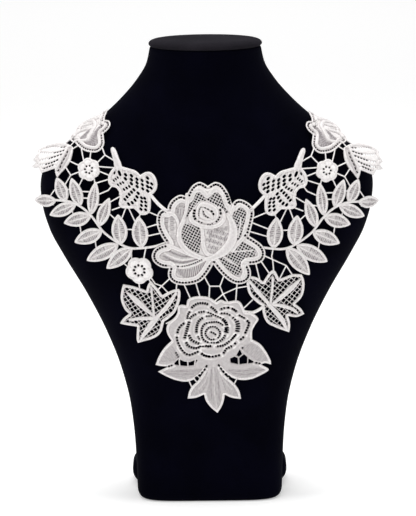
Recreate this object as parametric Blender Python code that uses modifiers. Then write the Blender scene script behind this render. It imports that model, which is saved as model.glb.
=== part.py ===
# Lace collar laid over a velvet bust stand.
#
# The lace is one flat chart of motifs, U millimetres sideways from the front centre line and
# V millimetres up it. The chart is draped over the stand's form, so that it keeps its lengths,
# and each motif is an open surface on it with a wall of cotton outside.
# Lengths are in millimetres until a mesh is made.

import math

import bmesh
import bpy
import numpy as np
from mathutils import Vector
from mathutils.geometry import delaunay_2d_cdt

MM = 0.001

# Driving sizes
BODY_TOP = 350.0
CAP_GAP = 0.3
CAP_THICK = 5.7
FOOT_HALF_WIDTH = 61.0
FOOT_DEPTH = 40.0
FOOT_HEIGHT = 24.0
FOOT_ROUND = 11.0
SEAM = 0.3            # between one motif and the next
CLEARANCE = 0.9       # between the stand and the lace
LACE_WALL = 1.3       # flat satin stitch
LACE_RELIEF = 2.3     # padded satin ridges
BRIDE_WIDTH = 1.1     # thin bars that tie the motifs together
STEM_WIDTH = 1.9
LONGEST_EDGE = 7.0
SPACING = 12.0        # between the points inside a motif
CORD_WIDTH = 2.6

# The stand's cross-sections: height, half width, front and back depth, power of the superellipse
SECTIONS = np.array([
    (0, 56.4, 42, 5, 5.2), (40, 57.9, 42.5, 5, 4.2), (70, 61, 43.5, 11, 3.4),
    (100, 68.1, 47, 19, 2.8), (130, 79.5, 51, 28, 2.5), (160, 94.4, 54.5, 36, 2.35),
    (190, 111.8, 57, 41.5, 2.3), (210, 122, 57, 43, 2.3), (228, 127, 56, 43, 2.3),
    (243, 128.4, 54, 42, 2.3), (256, 126.3, 51.5, 40.5, 2.3), (267, 119, 49, 39, 2.3),
    (280, 102.8, 46, 37.5, 2.25), (295, 82.3, 43, 36, 2.2), (310, 65.8, 39.5, 34.5, 2.1),
    (325, 52.9, 36.5, 33.5, 2.05), (338, 45.2, 35, 33, 2.0), (350, 42.5, 34.5, 33, 2.0),
], float)

# How far the stiff lace stands off the shoulders: height, extra half width
STAND_OFF = np.array([
    (0, 0), (190, 0), (205, 1), (220, 3), (235, 5), (250, 9), (262, 12), (271, 13),
    (280, 9.5), (290, 7), (300, 4.5), (312, 4), (350, 4),
], float)
BACK_SHARE = 0.4      # share of that stand-off behind the shoulders

# The chart: its cell, its reach, and the height where V is 0
CELL = 6.0
FINER = 4
V_LOW, V_HIGH, U_REACH = -144.0, 138.0, 156.0
V_ZERO_HEIGHT = 200.0
LACE_TURN = -0.9      # degrees that the lace hangs askew on the stand
LACE_HEIGHT = 0.99    # and its height, to the drawn one
NARROW, WIDE = (-60.0, 84.0), (-20.0, 156.0)   # V and the U reached there


def between(xs, ys, x):
    """Smooth interpolation that never overshoots its table."""
    x = np.clip(x, xs[0], xs[-1])
    step, rise = np.diff(xs), np.diff(ys) / np.diff(xs)
    slope = np.zeros(len(xs))
    slope[0], slope[-1] = rise[0], rise[-1]
    for k in range(1, len(xs) - 1):
        if rise[k - 1] * rise[k] > 0:
            before, after = 2 * step[k] + step[k - 1], step[k] + 2 * step[k - 1]
            slope[k] = (before + after) / (before / rise[k - 1] + after / rise[k])
    i = np.clip(np.searchsorted(xs, x, side="right") - 1, 0, len(step) - 1)
    t = (x - xs[i]) / step[i]
    return (
        (1 + 2 * t) * (1 - t) ** 2 * ys[i]
        + t * (1 - t) ** 2 * step[i] * slope[i]
        + t * t * (3 - 2 * t) * ys[i + 1]
        + t * t * (t - 1) * step[i] * slope[i + 1]
    )


def lace_level(p):
    """0 on the surface that the lace lies on, more outside it."""
    x, y, z = p[..., 0], p[..., 1], p[..., 2]
    wide, front, back, power = (between(SECTIONS[:, 0], SECTIONS[:, k], z) for k in (1, 2, 3, 4))
    off = between(STAND_OFF[:, 0], STAND_OFF[:, 1], z)
    wide = wide + CLEARANCE + off
    deep = np.where(y < 0, front + CLEARANCE, back + CLEARANCE + BACK_SHARE * off)
    return ((np.abs(x) / wide) ** power + (np.abs(y) / deep) ** power) ** (1 / power) - 1


def slope_of(p):
    e = 0.001
    return np.stack([(lace_level(p + d) - lace_level(p - d)) / (2 * e) for d in np.eye(3) * e], -1)


def settle(p, rounds):
    """Points moved onto the surface."""
    for _ in range(rounds):
        g = slope_of(p)
        p = p - (lace_level(p) / (g * g).sum(-1))[..., None] * g
    return p


def relax(p, used, rounds):
    """The net of points eased until its cells keep their size, as cloth does."""
    links = (((0, 1), CELL), ((1, 0), CELL), ((1, 1), CELL * 2**0.5), ((1, -1), CELL * 2**0.5))
    high, wide = p.shape[:2]
    for _ in range(rounds):
        move, count = np.zeros_like(p), np.zeros(p.shape[:2])
        for (di, dj), length in links:
            a = (slice(0, high - di), slice(max(0, -dj), wide - max(0, dj)))
            b = (slice(di, high), slice(max(0, dj), wide - max(0, -dj)))
            both = used[a] & used[b]
            gap = p[b] - p[a]
            size = np.linalg.norm(gap, axis=-1)
            pull = (0.5 * (size - length) / np.maximum(size, 1e-6) * both)[..., None] * gap
            move[a] += pull
            move[b] -= pull
            count[a] += both
            count[b] += both
        move[:, 0] = 0
        p = settle(p + 1.6 * move / np.maximum(count, 1)[..., None], 1)
    return p


def finer(p, axis):
    """Points along one axis, FINER to a cell, on smooth curves through the coarse ones."""
    p = np.moveaxis(p, axis, 0)
    ends = np.concatenate([[2 * p[0] - p[1]], p, [2 * p[-1] - p[-2]]])
    t = np.arange((len(p) - 1) * FINER + 1) / FINER
    i = np.minimum(t.astype(int), len(p) - 2)
    f = (t - i).reshape((-1,) + (1,) * (p.ndim - 1))
    a, b, c, d = ends[i], ends[i + 1], ends[i + 2], ends[i + 3]
    q = b + 0.5 * f * (c - a + f * (2 * a - 5 * b + 4 * c - d + f * (3 * (b - c) + d - a)))
    return np.moveaxis(q, 0, axis)


def drape():
    """The chart on the form: rows up the front from V_LOW, columns sideways from U 0."""
    z = np.arange(V_ZERO_HEIGHT + V_LOW - 10, BODY_TOP, 0.5)
    y = -(between(SECTIONS[:, 0], SECTIONS[:, 2], z) + CLEARANCE)
    run = np.concatenate([[0], np.cumsum(np.hypot(np.diff(z), np.diff(y)))])
    v = np.arange(V_LOW, V_HIGH + 1, CELL)
    u = np.arange(0, U_REACH + 1, CELL)
    along = v + np.interp(V_ZERO_HEIGHT, z, run)
    middle = np.stack([0 * v, np.interp(along, run, y), np.interp(along, run, z)], -1)
    used = u[None, :] <= np.interp(v, (NARROW[0], WIDE[0]), (NARROW[1], WIDE[1]))[:, None]
    net = np.zeros((len(v), len(u), 3))
    net[:, 0] = middle
    net[:, 1] = settle(middle + [CELL, 0, 0], 3)
    for j in range(2, len(u)):
        net[:, j] = settle(2 * net[:, j - 1] - net[:, j - 2], 3)
        net[:, : j + 1] = relax(net[:, : j + 1], used[:, : j + 1], 6)
    net = relax(net, used, 150)
    return settle(finer(finer(net, 0), 1), 2)


NET = drape()


def on_form(u, v):
    """The place on the form of a point of the chart, in millimetres."""
    c, s = math.cos(math.radians(LACE_TURN)), math.sin(math.radians(LACE_TURN))
    v = v * LACE_HEIGHT
    u, v = u * c - v * s, u * s + v * c
    cell = CELL / FINER
    i = min(max((v - V_LOW) / cell, 0), NET.shape[0] - 1.001)
    j = min(abs(u) / cell, NET.shape[1] - 1.001)
    i0, j0 = int(i), int(j)
    fi, fj = i - i0, j - j0
    low = (1 - fj) * NET[i0, j0] + fj * NET[i0, j0 + 1]
    high = (1 - fj) * NET[i0 + 1, j0] + fj * NET[i0 + 1, j0 + 1]
    p = (1 - fi) * low + fi * high
    return Vector((math.copysign(p[0], u), p[1], p[2]))


# Outlines in the chart

def curve(points, parts):
    """A smooth open curve through the points, with so many parts between two of them."""
    p = np.array(points, float)
    ends = np.concatenate([[2 * p[0] - p[1]], p, [2 * p[-1] - p[-2]]])
    out = []
    for i in range(len(p) - 1):
        a, b, c, d = ends[i : i + 4]
        for f in np.arange(parts) / parts:
            out.append(b + 0.5 * f * (c - a + f * (2 * a - 5 * b + 4 * c - d + f * (3 * (b - c) + d - a))))
    out.append(p[-1])
    return out


def lobes(*runs, parts=2):
    """A closed outline of smooth lobes with a corner where one meets the next."""
    out = []
    for run, following in zip(runs, runs[1:] + runs[:1]):
        out += curve(list(run) + [following[0]], parts)[:-1]
    return out


def flower(centre, radius, petals, depth, turn=0.0, parts=4):
    """A round outline with so many shallow petals."""
    out = []
    for k in range(petals * parts):
        a = 2 * math.pi * k / (petals * parts) + turn
        r = radius * (1 - depth * (1 - abs(math.sin((a - turn) * petals / 2))))
        out.append((centre[0] + r * math.cos(a), centre[1] + r * math.sin(a)))
    return out


def ring(centre, wide, high, count):
    turns = [2 * math.pi * k / count for k in range(count)]
    return [(centre[0] + wide * math.cos(a), centre[1] + high * math.sin(a)) for a in turns]


def leaf(base, tip, width, parts=6):
    """A pointed oval from base to tip, fullest a little before its middle."""
    base, tip = np.array(base, float), np.array(tip, float)
    along = tip - base
    side = np.array([-along[1], along[0]]) / np.linalg.norm(along)
    half = [width / 2 * math.sin(math.pi * t**0.85) ** 0.75 for t in np.arange(1, parts) / parts]
    right = [base + along * k / parts - side * h for k, h in enumerate(half, 1)]
    left = [base + along * k / parts + side * h for k, h in enumerate(half, 1)]
    return [base] + right + [tip] + left[::-1]


def strips(points, width):
    """A bar of straight pieces that overlap where they meet."""
    out = []
    for a, b in zip(points, points[1:]):
        a, b = np.array(a, float), np.array(b, float)
        along = (b - a) / np.linalg.norm(b - a)
        side = np.array([-along[1], along[0]]) * width / 2
        a, b = a - along * width * 0.3, b + along * width * 0.3
        out.append([a - side, b - side, b + side, a + side])
    return out


def ribbon(points, width, parts=2):
    """A smooth bar of even width."""
    middle = np.array(curve(points, parts))
    along = np.gradient(middle, axis=0)
    along /= np.linalg.norm(along, axis=1)[:, None]
    side = np.stack([-along[:, 1], along[:, 0]], 1) * width / 2
    return list(middle - side) + list((middle + side)[::-1])


def signed_area(points):
    p = np.array(points, float)
    q = np.roll(p, -1, 0)
    return 0.5 * float((p[:, 0] * q[:, 1] - q[:, 0] * p[:, 1]).sum())


def grown(points, by):
    """The outline moved outwards, so that a neighbour stops short of it."""
    p = np.array(points, float)
    if signed_area(p) < 0:
        p = p[::-1]
    before, after = p - np.roll(p, 1, 0), np.roll(p, -1, 0) - p
    normal = [np.stack([d[:, 1], -d[:, 0]], 1) / np.linalg.norm(d, axis=1)[:, None] for d in (before, after)]
    out = normal[0] + normal[1]
    size = np.maximum((out * normal[0]).sum(1), 0.35)
    return list(p + by * out / size[:, None])


# The motifs, in the chart. Each lobe of an outline starts at its notch.

ROSE_OUTLINE = lobes(
    [(-16, 43.3), (-14.3, 47.5), (-11, 52), (-6.5, 54.2), (-2.7, 53)],
    [(0, 51.2), (2.7, 53), (6.2, 54.2), (10.8, 52.3), (14.8, 47), (17, 41.5)],
    [(18.3, 37.6), (21, 40.4), (25, 41), (30, 38.8), (33.8, 35), (35, 30), (33.8, 23), (32.3, 17)],
    [(31.3, 13), (36, 10), (41, 6), (43.6, 1), (43.4, -3.8), (41, -7.3), (36, -9.2)],
    [(31, -9.5), (32.8, -14), (32.5, -20), (28.5, -23.8), (23, -24.7), (18, -23), (12.8, -19), (8, -13.8)],
    [(4.5, -9), (0.5, -16), (-5, -22.3), (-12, -25), (-20, -25.5), (-25.5, -24), (-29, -20.5),
     (-29.8, -16.5)],
    [(-29, -12.4), (-34, -12), (-38.5, -9.8), (-41.3, -6.5), (-42, -2.3), (-40, 2.2), (-36, 5.3)],
    [(-31.2, 6.8), (-34, 11), (-37, 17), (-38.4, 23), (-37.7, 29), (-35, 32.6)],
    [(-30.2, 33.2), (-29.5, 36.5), (-26.5, 41), (-21, 44.2)],
)
# Padded ridges of the rose: the satin edge of each petal, the bud, and the fold beneath it
ROSE_RIDGES = (
    curve([(-14, 38), (-11, 47), (-6, 49.5), (0, 46), (6, 49.5), (11, 46.5), (15, 36)], 1),
    curve([(20, 35), (25, 37), (30, 33), (30, 26), (28, 17)], 1),
    curve([(31, 8), (38, 3), (38.5, -2.5), (35, -5.5), (28, -6.5), (28.5, -16), (23, -20.5), (14, -14)], 1),
    curve([(-1, -12), (-8, -19.5), (-18, -21), (-25, -18.5), (-25.5, -12)], 1),
    curve([(-29, -8.5), (-36, -6.5), (-37.5, -1.5), (-31, 3), (-22, 0)], 1),
    curve([(-28, 9), (-33.5, 20), (-32, 28), (-25, 33), (-20, 39), (-17, 37)], 1),
    ring((-0.5, 29.5), 12, 9, 12), ring((1, 30), 5, 4.5, 6),
    curve([(17, 26), (19, 15), (16, 5), (8, -2), (-6, -4), (-18, 1), (-22, 12)], 1),
)

DROP_OUTLINE = lobes(
    [(-15.8, -41.8), (-14.6, -37), (-10, -34.7), (-4, -34.2), (2, -35.3)],
    [(7, -38.8), (10.5, -37), (14, -38.4), (18, -38.2), (22, -37.6), (25.5, -39.4), (28.3, -45)],
    [(29, -47), (34, -48), (39.3, -53), (36.8, -58), (34.6, -63), (34.7, -69.5)],
    [(35, -70), (41, -74), (46, -81), (49.5, -88)],
    [(50.2, -92), (45, -90.2)], [(42, -91.2), (48.4, -95.9)],
    [(42, -99.8), (35, -102.4), (27, -103), (20, -101), (14, -97)],
    [(10.2, -92.6), (12.5, -97), (17, -101.6), (22, -106.5), (25.3, -112)],
    [(26.7, -118.6), (19.5, -117.4)],
    [(14, -114.8), (13.3, -120), (11.3, -125.4)], [(8.5, -130), (3.2, -125.3), (-0.5, -120)],
    [(-2, -114.8), (-8, -117.4)], [(-14.7, -118.4), (-13.6, -112.6), (-11, -107.6), (-6.6, -103)],
    [(-1, -94), (-5, -98.6), (-10, -102.4), (-16, -104.3), (-24, -103.2), (-31.5, -100.4)],
    [(-37.8, -97.2), (-32.5, -94)], [(-30, -92.4), (-35, -92.4)],
    [(-39.6, -91.8), (-37.4, -85.5), (-34, -79), (-30.5, -74.5)],
    [(-27, -71), (-30, -66), (-31, -60.8), (-29, -56), (-24.5, -51.5)],
    [(-22.4, -47.6), (-22.2, -43), (-19.5, -41.3)],
)
DROP_HOLES = (
    [(-25, -89.3), (-24.5, -90.6), (-16, -91.4), (-9.5, -90.4), (-7, -86), (-9, -86.2), (-13, -88),
     (-17.5, -87.6), (-21.5, -85.6)],
    [(18.4, -88.4), (17.8, -85), (21, -83.4), (23.7, -84.6), (24, -89.8)],
    [(25.2, -89.9), (24.9, -84.6), (28.5, -81.7), (31, -84), (31, -89.3)],
    [(22.7, -82.4), (24.6, -83.6), (27, -81.6), (25.2, -77.4)],
)
DROP_CENTRE = (4.0, -64.0)
DROP_RIDGES = (
    ring(DROP_CENTRE, 3, 3, 5), ring(DROP_CENTRE, 7.6, 7.2, 8), ring((4.5, -64.5), 13.5, 11, 12),
    curve([(-14.5, -52), (-10, -44.5), (-2, -42), (6, -47), (14, -52), (20, -60), (17, -68)], 1),
    curve([(13, -44), (20, -46.5), (27, -53), (29, -61), (24, -69)], 1),
    curve([(-20, -60), (-20, -70), (-14, -77), (-4, -75.5), (4, -79), (14, -76), (24, -72)], 1),
    curve([(-26, -56), (-26, -64), (-23, -74), (-15, -84), (0, -84), (14, -82)], 1),
    curve([(-12, -95.5), (-22, -97.5), (-32, -97)], 1), curve([(18, -94.5), (30, -97), (42, -95.5)], 1),
    curve([(38, -78), (44, -87)], 1), curve([(-31, -80), (-35, -88)], 1),
    curve([(4.5, -92), (5, -104), (6, -114), (8, -124)], 1),
    curve([(-3, -103), (-9, -113)], 1), curve([(12, -103), (22, -114)], 1),
)

MAPLE_LEFT = lobes(
    [(-46.5, -31), (-50.5, -29.6), (-57, -28)],
    [(-64.6, -27.2), (-66, -32), (-67, -38), (-66.3, -43), (-64, -48)],
    [(-60.5, -51.5), (-65.5, -56)], [(-68.8, -61), (-65, -61.4), (-60, -61.4)],
    [(-54, -61.4), (-54.4, -66.5), (-54.6, -72)], [(-53.6, -75.2), (-48, -72.8), (-42.5, -70.6),
     (-37.6, -67.6), (-34.6, -63.5), (-33.4, -59)],
    [(-32.6, -55.6), (-28.5, -52.2), (-24.5, -48), (-22, -42.4), (-20.4, -37), (-20.2, -31)],
    [(-21.4, -28.6), (-25.5, -29.4), (-30, -31.6)], [(-34, -34), (-37, -29.6), (-40.8, -25)],
    [(-42.6, -23), (-45, -26)],
)
MAPLE_LEFT_RIDGES = (
    [(-61, -34), (-54, -40), (-46, -47)], [(-42.5, -30), (-41.5, -38), (-41, -46)],
    [(-25, -33), (-30, -41), (-36, -48)], [(-62, -58.5), (-53, -55), (-44, -54)],
    [(-51, -70), (-46, -64), (-40, -57)],
)
MAPLE_RIGHT = lobes(
    [(55, -21.5), (59.5, -20), (65.5, -18.3)],
    [(72.6, -19), (74.8, -23.5), (75.6, -29), (75, -35.5), (72.6, -40)],
    [(68.5, -43.4), (74, -48)], [(77.8, -53.6), (73.3, -54.8), (69, -54.8)],
    [(63, -53), (64.6, -57), (65.2, -62)],
    [(64.6, -67), (57.5, -63.6), (51.5, -60.5), (46.8, -57.6), (43.8, -53), (42.4, -48)],
    [(41.7, -42.8), (38.6, -40.5), (34, -36), (31, -31), (29.8, -25)],
    [(29.6, -19.2), (33, -18.4), (38.3, -20)], [(42.3, -23), (45, -18.6), (47.4, -15.4)],
    [(49.8, -13.8), (51.8, -15.4), (53.4, -18.6)],
)
MAPLE_RIGHT_RIDGES = (
    [(69, -25), (62, -32), (55, -39)], [(49.7, -20), (49.2, -29), (49, -37)],
    [(33, -23), (39, -31), (45, -38.5)], [(71, -51), (62, -46.5), (54, -44)],
    [(61.5, -62), (56, -53), (50, -45)],
)

DAISY_LOW_CENTRE, DAISY_HIGH_CENTRE = (-51.5, -15), (-90.5, 62)
DAISY_LOW = flower(DAISY_LOW_CENTRE, 11, 5, 0.14, 0.3)
DAISY_HIGH = flower(DAISY_HIGH_CENTRE, 9, 6, 0.12, 0.2)

BUTTERFLY = lobes(
    [(-70.8, 64.5), (-72, 71), (-74.4, 77.5), (-73, 80), (-70.4, 78), (-67.4, 71.5)],
    [(-65.3, 65.3), (-60, 63.9), (-54.5, 62.2)],
    [(-50.8, 59), (-47.5, 61), (-43.5, 61.4), (-40, 58.6), (-38, 53.5), (-38.3, 48.5), (-40.5, 45.2)],
    [(-43, 43.8), (-42.5, 37), (-43.4, 31.2), (-46.4, 28.6), (-50.4, 28.6), (-53, 31)],
    [(-55.5, 33.3), (-60, 33), (-65, 33.6), (-67, 36.5), (-66.2, 41)],
    [(-66.8, 45.8), (-69, 48.6), (-73, 49.8), (-75.2, 53), (-75, 58), (-73, 62)],
)
BUTTERFLY_RIDGES = (
    curve([(-71.5, 75), (-68.5, 68), (-64, 62.5), (-56, 59.5), (-52, 55)], 1),
    ring((-44.2, 53), 4.2, 5.4, 6), [(-47, 33), (-47.5, 41), (-54, 46), (-62, 38), (-63, 44)],
    [(-71.5, 54.5), (-66, 52), (-60, 50)],
)

# The leaves of a spray: where each leaves the stem, its tip, its width
SPRAY_LEAVES = (
    ((-49.8, 3), (-52, 27.5), 12.5), ((-65.6, 5), (-67.6, 28.5), 12.5), ((-82.5, 18.5), (-74, 41), 9.6),
    ((-88.4, 27.5), (-84.6, 53), 9.2), ((-97, 33.5), (-104, 55), 10.6), ((-109, 36.5), (-116.4, 55), 11),
    ((-117.5, 37), (-143, 34), 10.4), ((-100.5, 35), (-125, 24), 10.4), ((-88.6, 26.5), (-111.6, 19), 11.4),
    ((-80, 15), (-103.6, 3.6), 11.8), ((-67.5, 5), (-94.4, -11), 12.2),
)
LAST_LEAF = {"left": ((-57, 3), (-77.6, -15.6), 11.6), "right": ((-60, 3.4), (-79.4, -20.4), 12.4)}
SPRAY_STEM = (
    (-31, 7.6), (-39, 4.6), (-48, 3), (-58, 2.4), (-67, 5.8), (-79, 14.4), (-88, 26), (-97, 33.4),
    (-107, 36.8), (-119, 37.2),
)

SHOULDER_ROSE = lobes(
    [(-82, 91), (-78.6, 94.6), (-77.6, 98.9), (-80, 102.4)],
    [(-84.4, 103.4), (-85.6, 107), (-85.6, 111.5)],
    [(-86.6, 115.6), (-90.4, 112), (-95, 110.8), (-100.2, 110.8), (-106, 110.2)],
    [(-111, 108), (-113, 102)], [(-111.4, 95), (-113, 91.6), (-112.6, 88), (-109.8, 85)],
    [(-105.6, 83.4), (-101.8, 80.2), (-96.5, 76.8), (-90.6, 75.3), (-84.9, 75.6), (-81.2, 78.9),
     (-80, 83), (-81, 87.4)],
)
SHOULDER_ROSE_RIDGES = (
    curve([(-84, 99), (-86, 90), (-91, 84), (-99, 85)], 1), curve([(-81, 86), (-84, 80), (-94, 79.5)], 1),
    curve([(-88, 109), (-95, 106), (-103, 106.5), (-108, 101)], 1),
)
SHOULDER_LEAF = lobes(
    [(-106, 79.4), (-104.8, 74), (-105.4, 68.5), (-108.4, 63), (-112.6, 58.3)],
    [(-115.9, 54.4), (-117.4, 57.8)], [(-118.2, 61.4), (-122, 60.3), (-126, 59)],
    [(-131, 57.6), (-132.2, 60)], [(-134, 62.2), (-138, 61.8)], [(-142.6, 63), (-138.8, 65.2)],
    [(-137.6, 67), (-140, 67.2)], [(-143, 68.6), (-140.6, 72), (-139.6, 74.6)],
    [(-142.4, 77.6), (-138, 80.6), (-133, 82.4), (-126, 83.8), (-118.7, 84), (-112, 82.4)],
)
SHOULDER_LEAF_RIDGES = (
    [(-108.5, 76), (-109.5, 68), (-114, 59.6)], [(-115, 80.6), (-124, 80.6), (-134, 79)],
    [(-119, 70), (-127, 66.6), (-135, 65)],
)

# The bars from each motif to the next, in the chart. Those of the left arm are mirrored on the right.
ROSE_BRIDES = (
    [(-45.5, 19), (-37, 21.8)], [(-46.6, 12), (-35, 14.8)], [(-23, -25), (-23.5, -29.5)],
    [(-28.8, -21), (-34.5, -26.7), (-39.5, -25), (-42.8, -20)], [(-34.5, -26.7), (-37.4, -30)],
    [(-34.5, -26.7), (-30, -31.6)], [(-17.5, -25), (-13, -35.5)], [(-8.6, -24), (-5.4, -35)],
    [(-2.5, -18), (1.8, -26.2), (9.6, -26.2), (12.5, -18)], [(1.8, -26.2), (1.4, -36.5)],
    [(9.6, -26.2), (12, -32.5), (15.5, -38.8)], [(5.5, -38.5), (12, -32.5), (22, -27.8), (30, -26.5)],
    [(22.5, -24), (21.7, -38.5)], [(36.5, -8.5), (39.6, -21)], [(40.6, -7), (46.8, -16.5)],
    [(42.8, -2.5), (60, -11), (65, -18.8)], [(60, -11), (55, -21.5)], [(30, -22), (36, -21)],
    [(33.8, 23), (46, 18)], [(31.6, 16.5), (45, 12.4)], [(49.4, -5.6), (50.4, -16)],
)
ROSE_CORDS = ([(-30.5, 31.5), (-37, 37), (-43.5, 44.5)], [(32, 32.5), (38, 38.5), (43.5, 44.5)])
DROP_BRIDES = ([(-25, -53.4), (-31, -57)], [(-22, -43), (-22.5, -38)], [(28, -44), (34.5, -37.5)])
DROP_CORDS = ([(28, -47), (35.5, -47.6), (43, -43.6)],)
LOW_DAISY_BRIDES = ([(-52, -25), (-51.5, -30.5)], [(-44, -22), (-42.6, -25)])
BUTTERFLY_BRIDES = (
    [(-66, 34), (-72, 31.6)], [(-61.5, 33.6), (-65, 24.5)], [(-59.5, 33.6), (-54, 22)],
    [(-50.5, 29.5), (-51.7, 26)], [(-44.5, 31), (-33.5, 26.4)], [(-66.5, 42), (-73, 38)],
    [(-72, 50.5), (-75, 46.6), (-83, 43)], [(-75, 55), (-85, 51.6)],
)
DAISY_BRIDES = (
    [(-90, 70), (-90, 77)], [(-95, 69), (-99, 80)], [(-84, 67.5), (-78.5, 73.5), (-81.6, 80)],
    [(-78.5, 73.5), (-71, 69.5)], [(-83, 64.5), (-71, 64)], [(-82.5, 61), (-73, 57.6)],
    [(-86, 55), (-85, 50)], [(-95, 55), (-98, 49)], [(-97.5, 60), (-104.6, 57), (-109, 50)],
    [(-104.6, 57), (-109.8, 64)], [(-98, 64.5), (-107, 68)],
)
SPRAY_BRIDES = (
    [(-63, 17), (-53, 17)], [(-89, 45), (-97, 45)], [(-88, 40), (-97, 40)], [(-103, 46), (-111, 46)],
    [(-74.5, 29), (-69, 24)], [(-84, 35), (-78, 36)], [(-104, 30), (-101.5, 20)],
    [(-98, 20), (-97, 10)], [(-86, 8), (-85, -2)], [(-76, -4), (-70, -9)], [(-116, 48), (-125, 38)],
    [(-119, 37.2), (-121, 33)],
)
# Below the stems the arms differ, and both are given here as on the left
LOW_BRIDES = {
    "left": ([(-46.5, 3), (-48.2, -6)], [(-57.6, 2), (-57.4, -8)], [(-66, -8), (-60, -13)]),
    "right": ([(-49.6, 2.6), (-48.6, -3), (-49, -5.8)],),
}
SHOULDER_BRIDES = (
    [(-101.8, 81), (-107, 76.8)], [(-106.6, 85.6), (-109.4, 79.6)], [(-110.6, 88.8), (-116.4, 82.4)],
)


def on_side(side, outlines):
    """The left arm's outlines, or their mirror images for the right arm."""
    return [list(o) if side == "left" else [(-u, v) for u, v in o] for o in outlines]


def motifs():
    """Every motif in turn: its name, its own shapes, its bars, its cut-outs and its raised lines."""
    def bars(rows):
        return [strip for row in rows for strip in strips(row, BRIDE_WIDTH)]

    rows = [
        ("lace_centre_rose", [ROSE_OUTLINE], bars(ROSE_BRIDES) + [ribbon(r, CORD_WIDTH) for r in ROSE_CORDS],
         (), ROSE_RIDGES),
        ("lace_drop_rose", [DROP_OUTLINE], bars(DROP_BRIDES) + [ribbon(r, CORD_WIDTH) for r in DROP_CORDS],
         DROP_HOLES, DROP_RIDGES),
        ("lace_maple_leaf_left", [MAPLE_LEFT], [], (), MAPLE_LEFT_RIDGES),
        ("lace_maple_leaf_right", [MAPLE_RIGHT], [], (), MAPLE_RIGHT_RIDGES),
        ("lace_daisy_low_left", [DAISY_LOW], bars(LOW_DAISY_BRIDES), (), [ring(DAISY_LOW_CENTRE, 6, 6, 6)]),
    ]
    for side in ("left", "right"):
        leaves = SPRAY_LEAVES + (LAST_LEAF[side],)
        shapes = [ribbon(SPRAY_STEM, STEM_WIDTH)] + [leaf(*row) for row in leaves]
        midribs = [
            [tuple(np.array(base) + (np.array(tip) - base) * t) for t in (0.25, 0.5, 0.75)]
            for base, tip, _ in leaves
        ]
        for name, own, tied, raised in (
            ("lace_butterfly", [BUTTERFLY], bars(BUTTERFLY_BRIDES), BUTTERFLY_RIDGES),
            ("lace_spray", shapes, bars(SPRAY_BRIDES + LOW_BRIDES[side]), midribs),
            ("lace_daisy_high", [DAISY_HIGH], bars(DAISY_BRIDES), [ring(DAISY_HIGH_CENTRE, 5, 5, 6)]),
            ("lace_shoulder_rose", [SHOULDER_ROSE], bars(SHOULDER_BRIDES), SHOULDER_ROSE_RIDGES),
            ("lace_shoulder_leaf", [SHOULDER_LEAF], [], SHOULDER_LEAF_RIDGES),
        ):
            rows.append((
                f"{name}_{side}", on_side(side, own), on_side(side, tied), (), on_side(side, raised),
            ))
    return rows


def near(outline, own):
    """True where an outline's box comes within reach of the motif's."""
    low, high = np.min([np.min(o, 0) for o in own], 0), np.max([np.max(o, 0) for o in own], 0)
    return bool(np.all(np.max(outline, 0) > low - 1) and np.all(np.min(outline, 0) < high + 1))


def flat_mesh(name, kinds, ridges, spacing):
    """The motif in the chart, as triangles.

    kinds holds outlines by what they do. A triangle stays where it is in a shape and in no hole
    or earlier motif, and where it is in a bar and in no other motif or earlier bar.
    """
    points, faces, kind_of = [], [], []
    for kind, outlines in kinds.items():
        for outline in outlines:
            outline = list(outline) if signed_area(outline) > 0 else list(outline)[::-1]
            start = len(points)
            for a, b in zip(outline, outline[1:] + outline[:1]):
                a, b = np.array(a, float), np.array(b, float)
                pieces = max(1, math.ceil(float(np.linalg.norm(b - a)) / LONGEST_EDGE))
                points += [tuple(a + (b - a) * k / pieces) for k in range(pieces)]
            faces.append(list(range(start, len(points))))
            kind_of.append(kind)
    ridge_start = len(points)
    points += [tuple(p) for r in ridges for p in r]
    ridge_end = len(points)
    taken = np.array(points, float)
    own = np.array([p for s in kinds["shape"] for p in s], float)
    low, high = own.min(0), own.max(0)
    for u in np.arange(low[0] + spacing / 2, high[0], spacing):
        for v in np.arange(low[1] + spacing / 2, high[1], spacing):
            if np.hypot(taken[:, 0] - u, taken[:, 1] - v).min() > spacing * 0.4:
                points.append((u, v))
    found = delaunay_2d_cdt([Vector(p) for p in points], [], faces, 0, 0.02, True)
    verts, triangles, from_verts, from_faces = found[0], found[2], found[3], found[5]
    kept = []
    for triangle, sources in zip(triangles, from_faces):
        here = {kind_of[s] for s in sources}
        solid = "shape" in here and not here & {"hole", "earlier motif"}
        tied = "bar" in here and not here & {"earlier motif", "later motif", "earlier bar"}
        if solid or tied:
            kept.append(triangle)
    kept = largest_piece(name, verts, kept)
    raised = {i for i, s in enumerate(from_verts) if any(ridge_start <= k < ridge_end for k in s)}
    return verts, kept, raised


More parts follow.
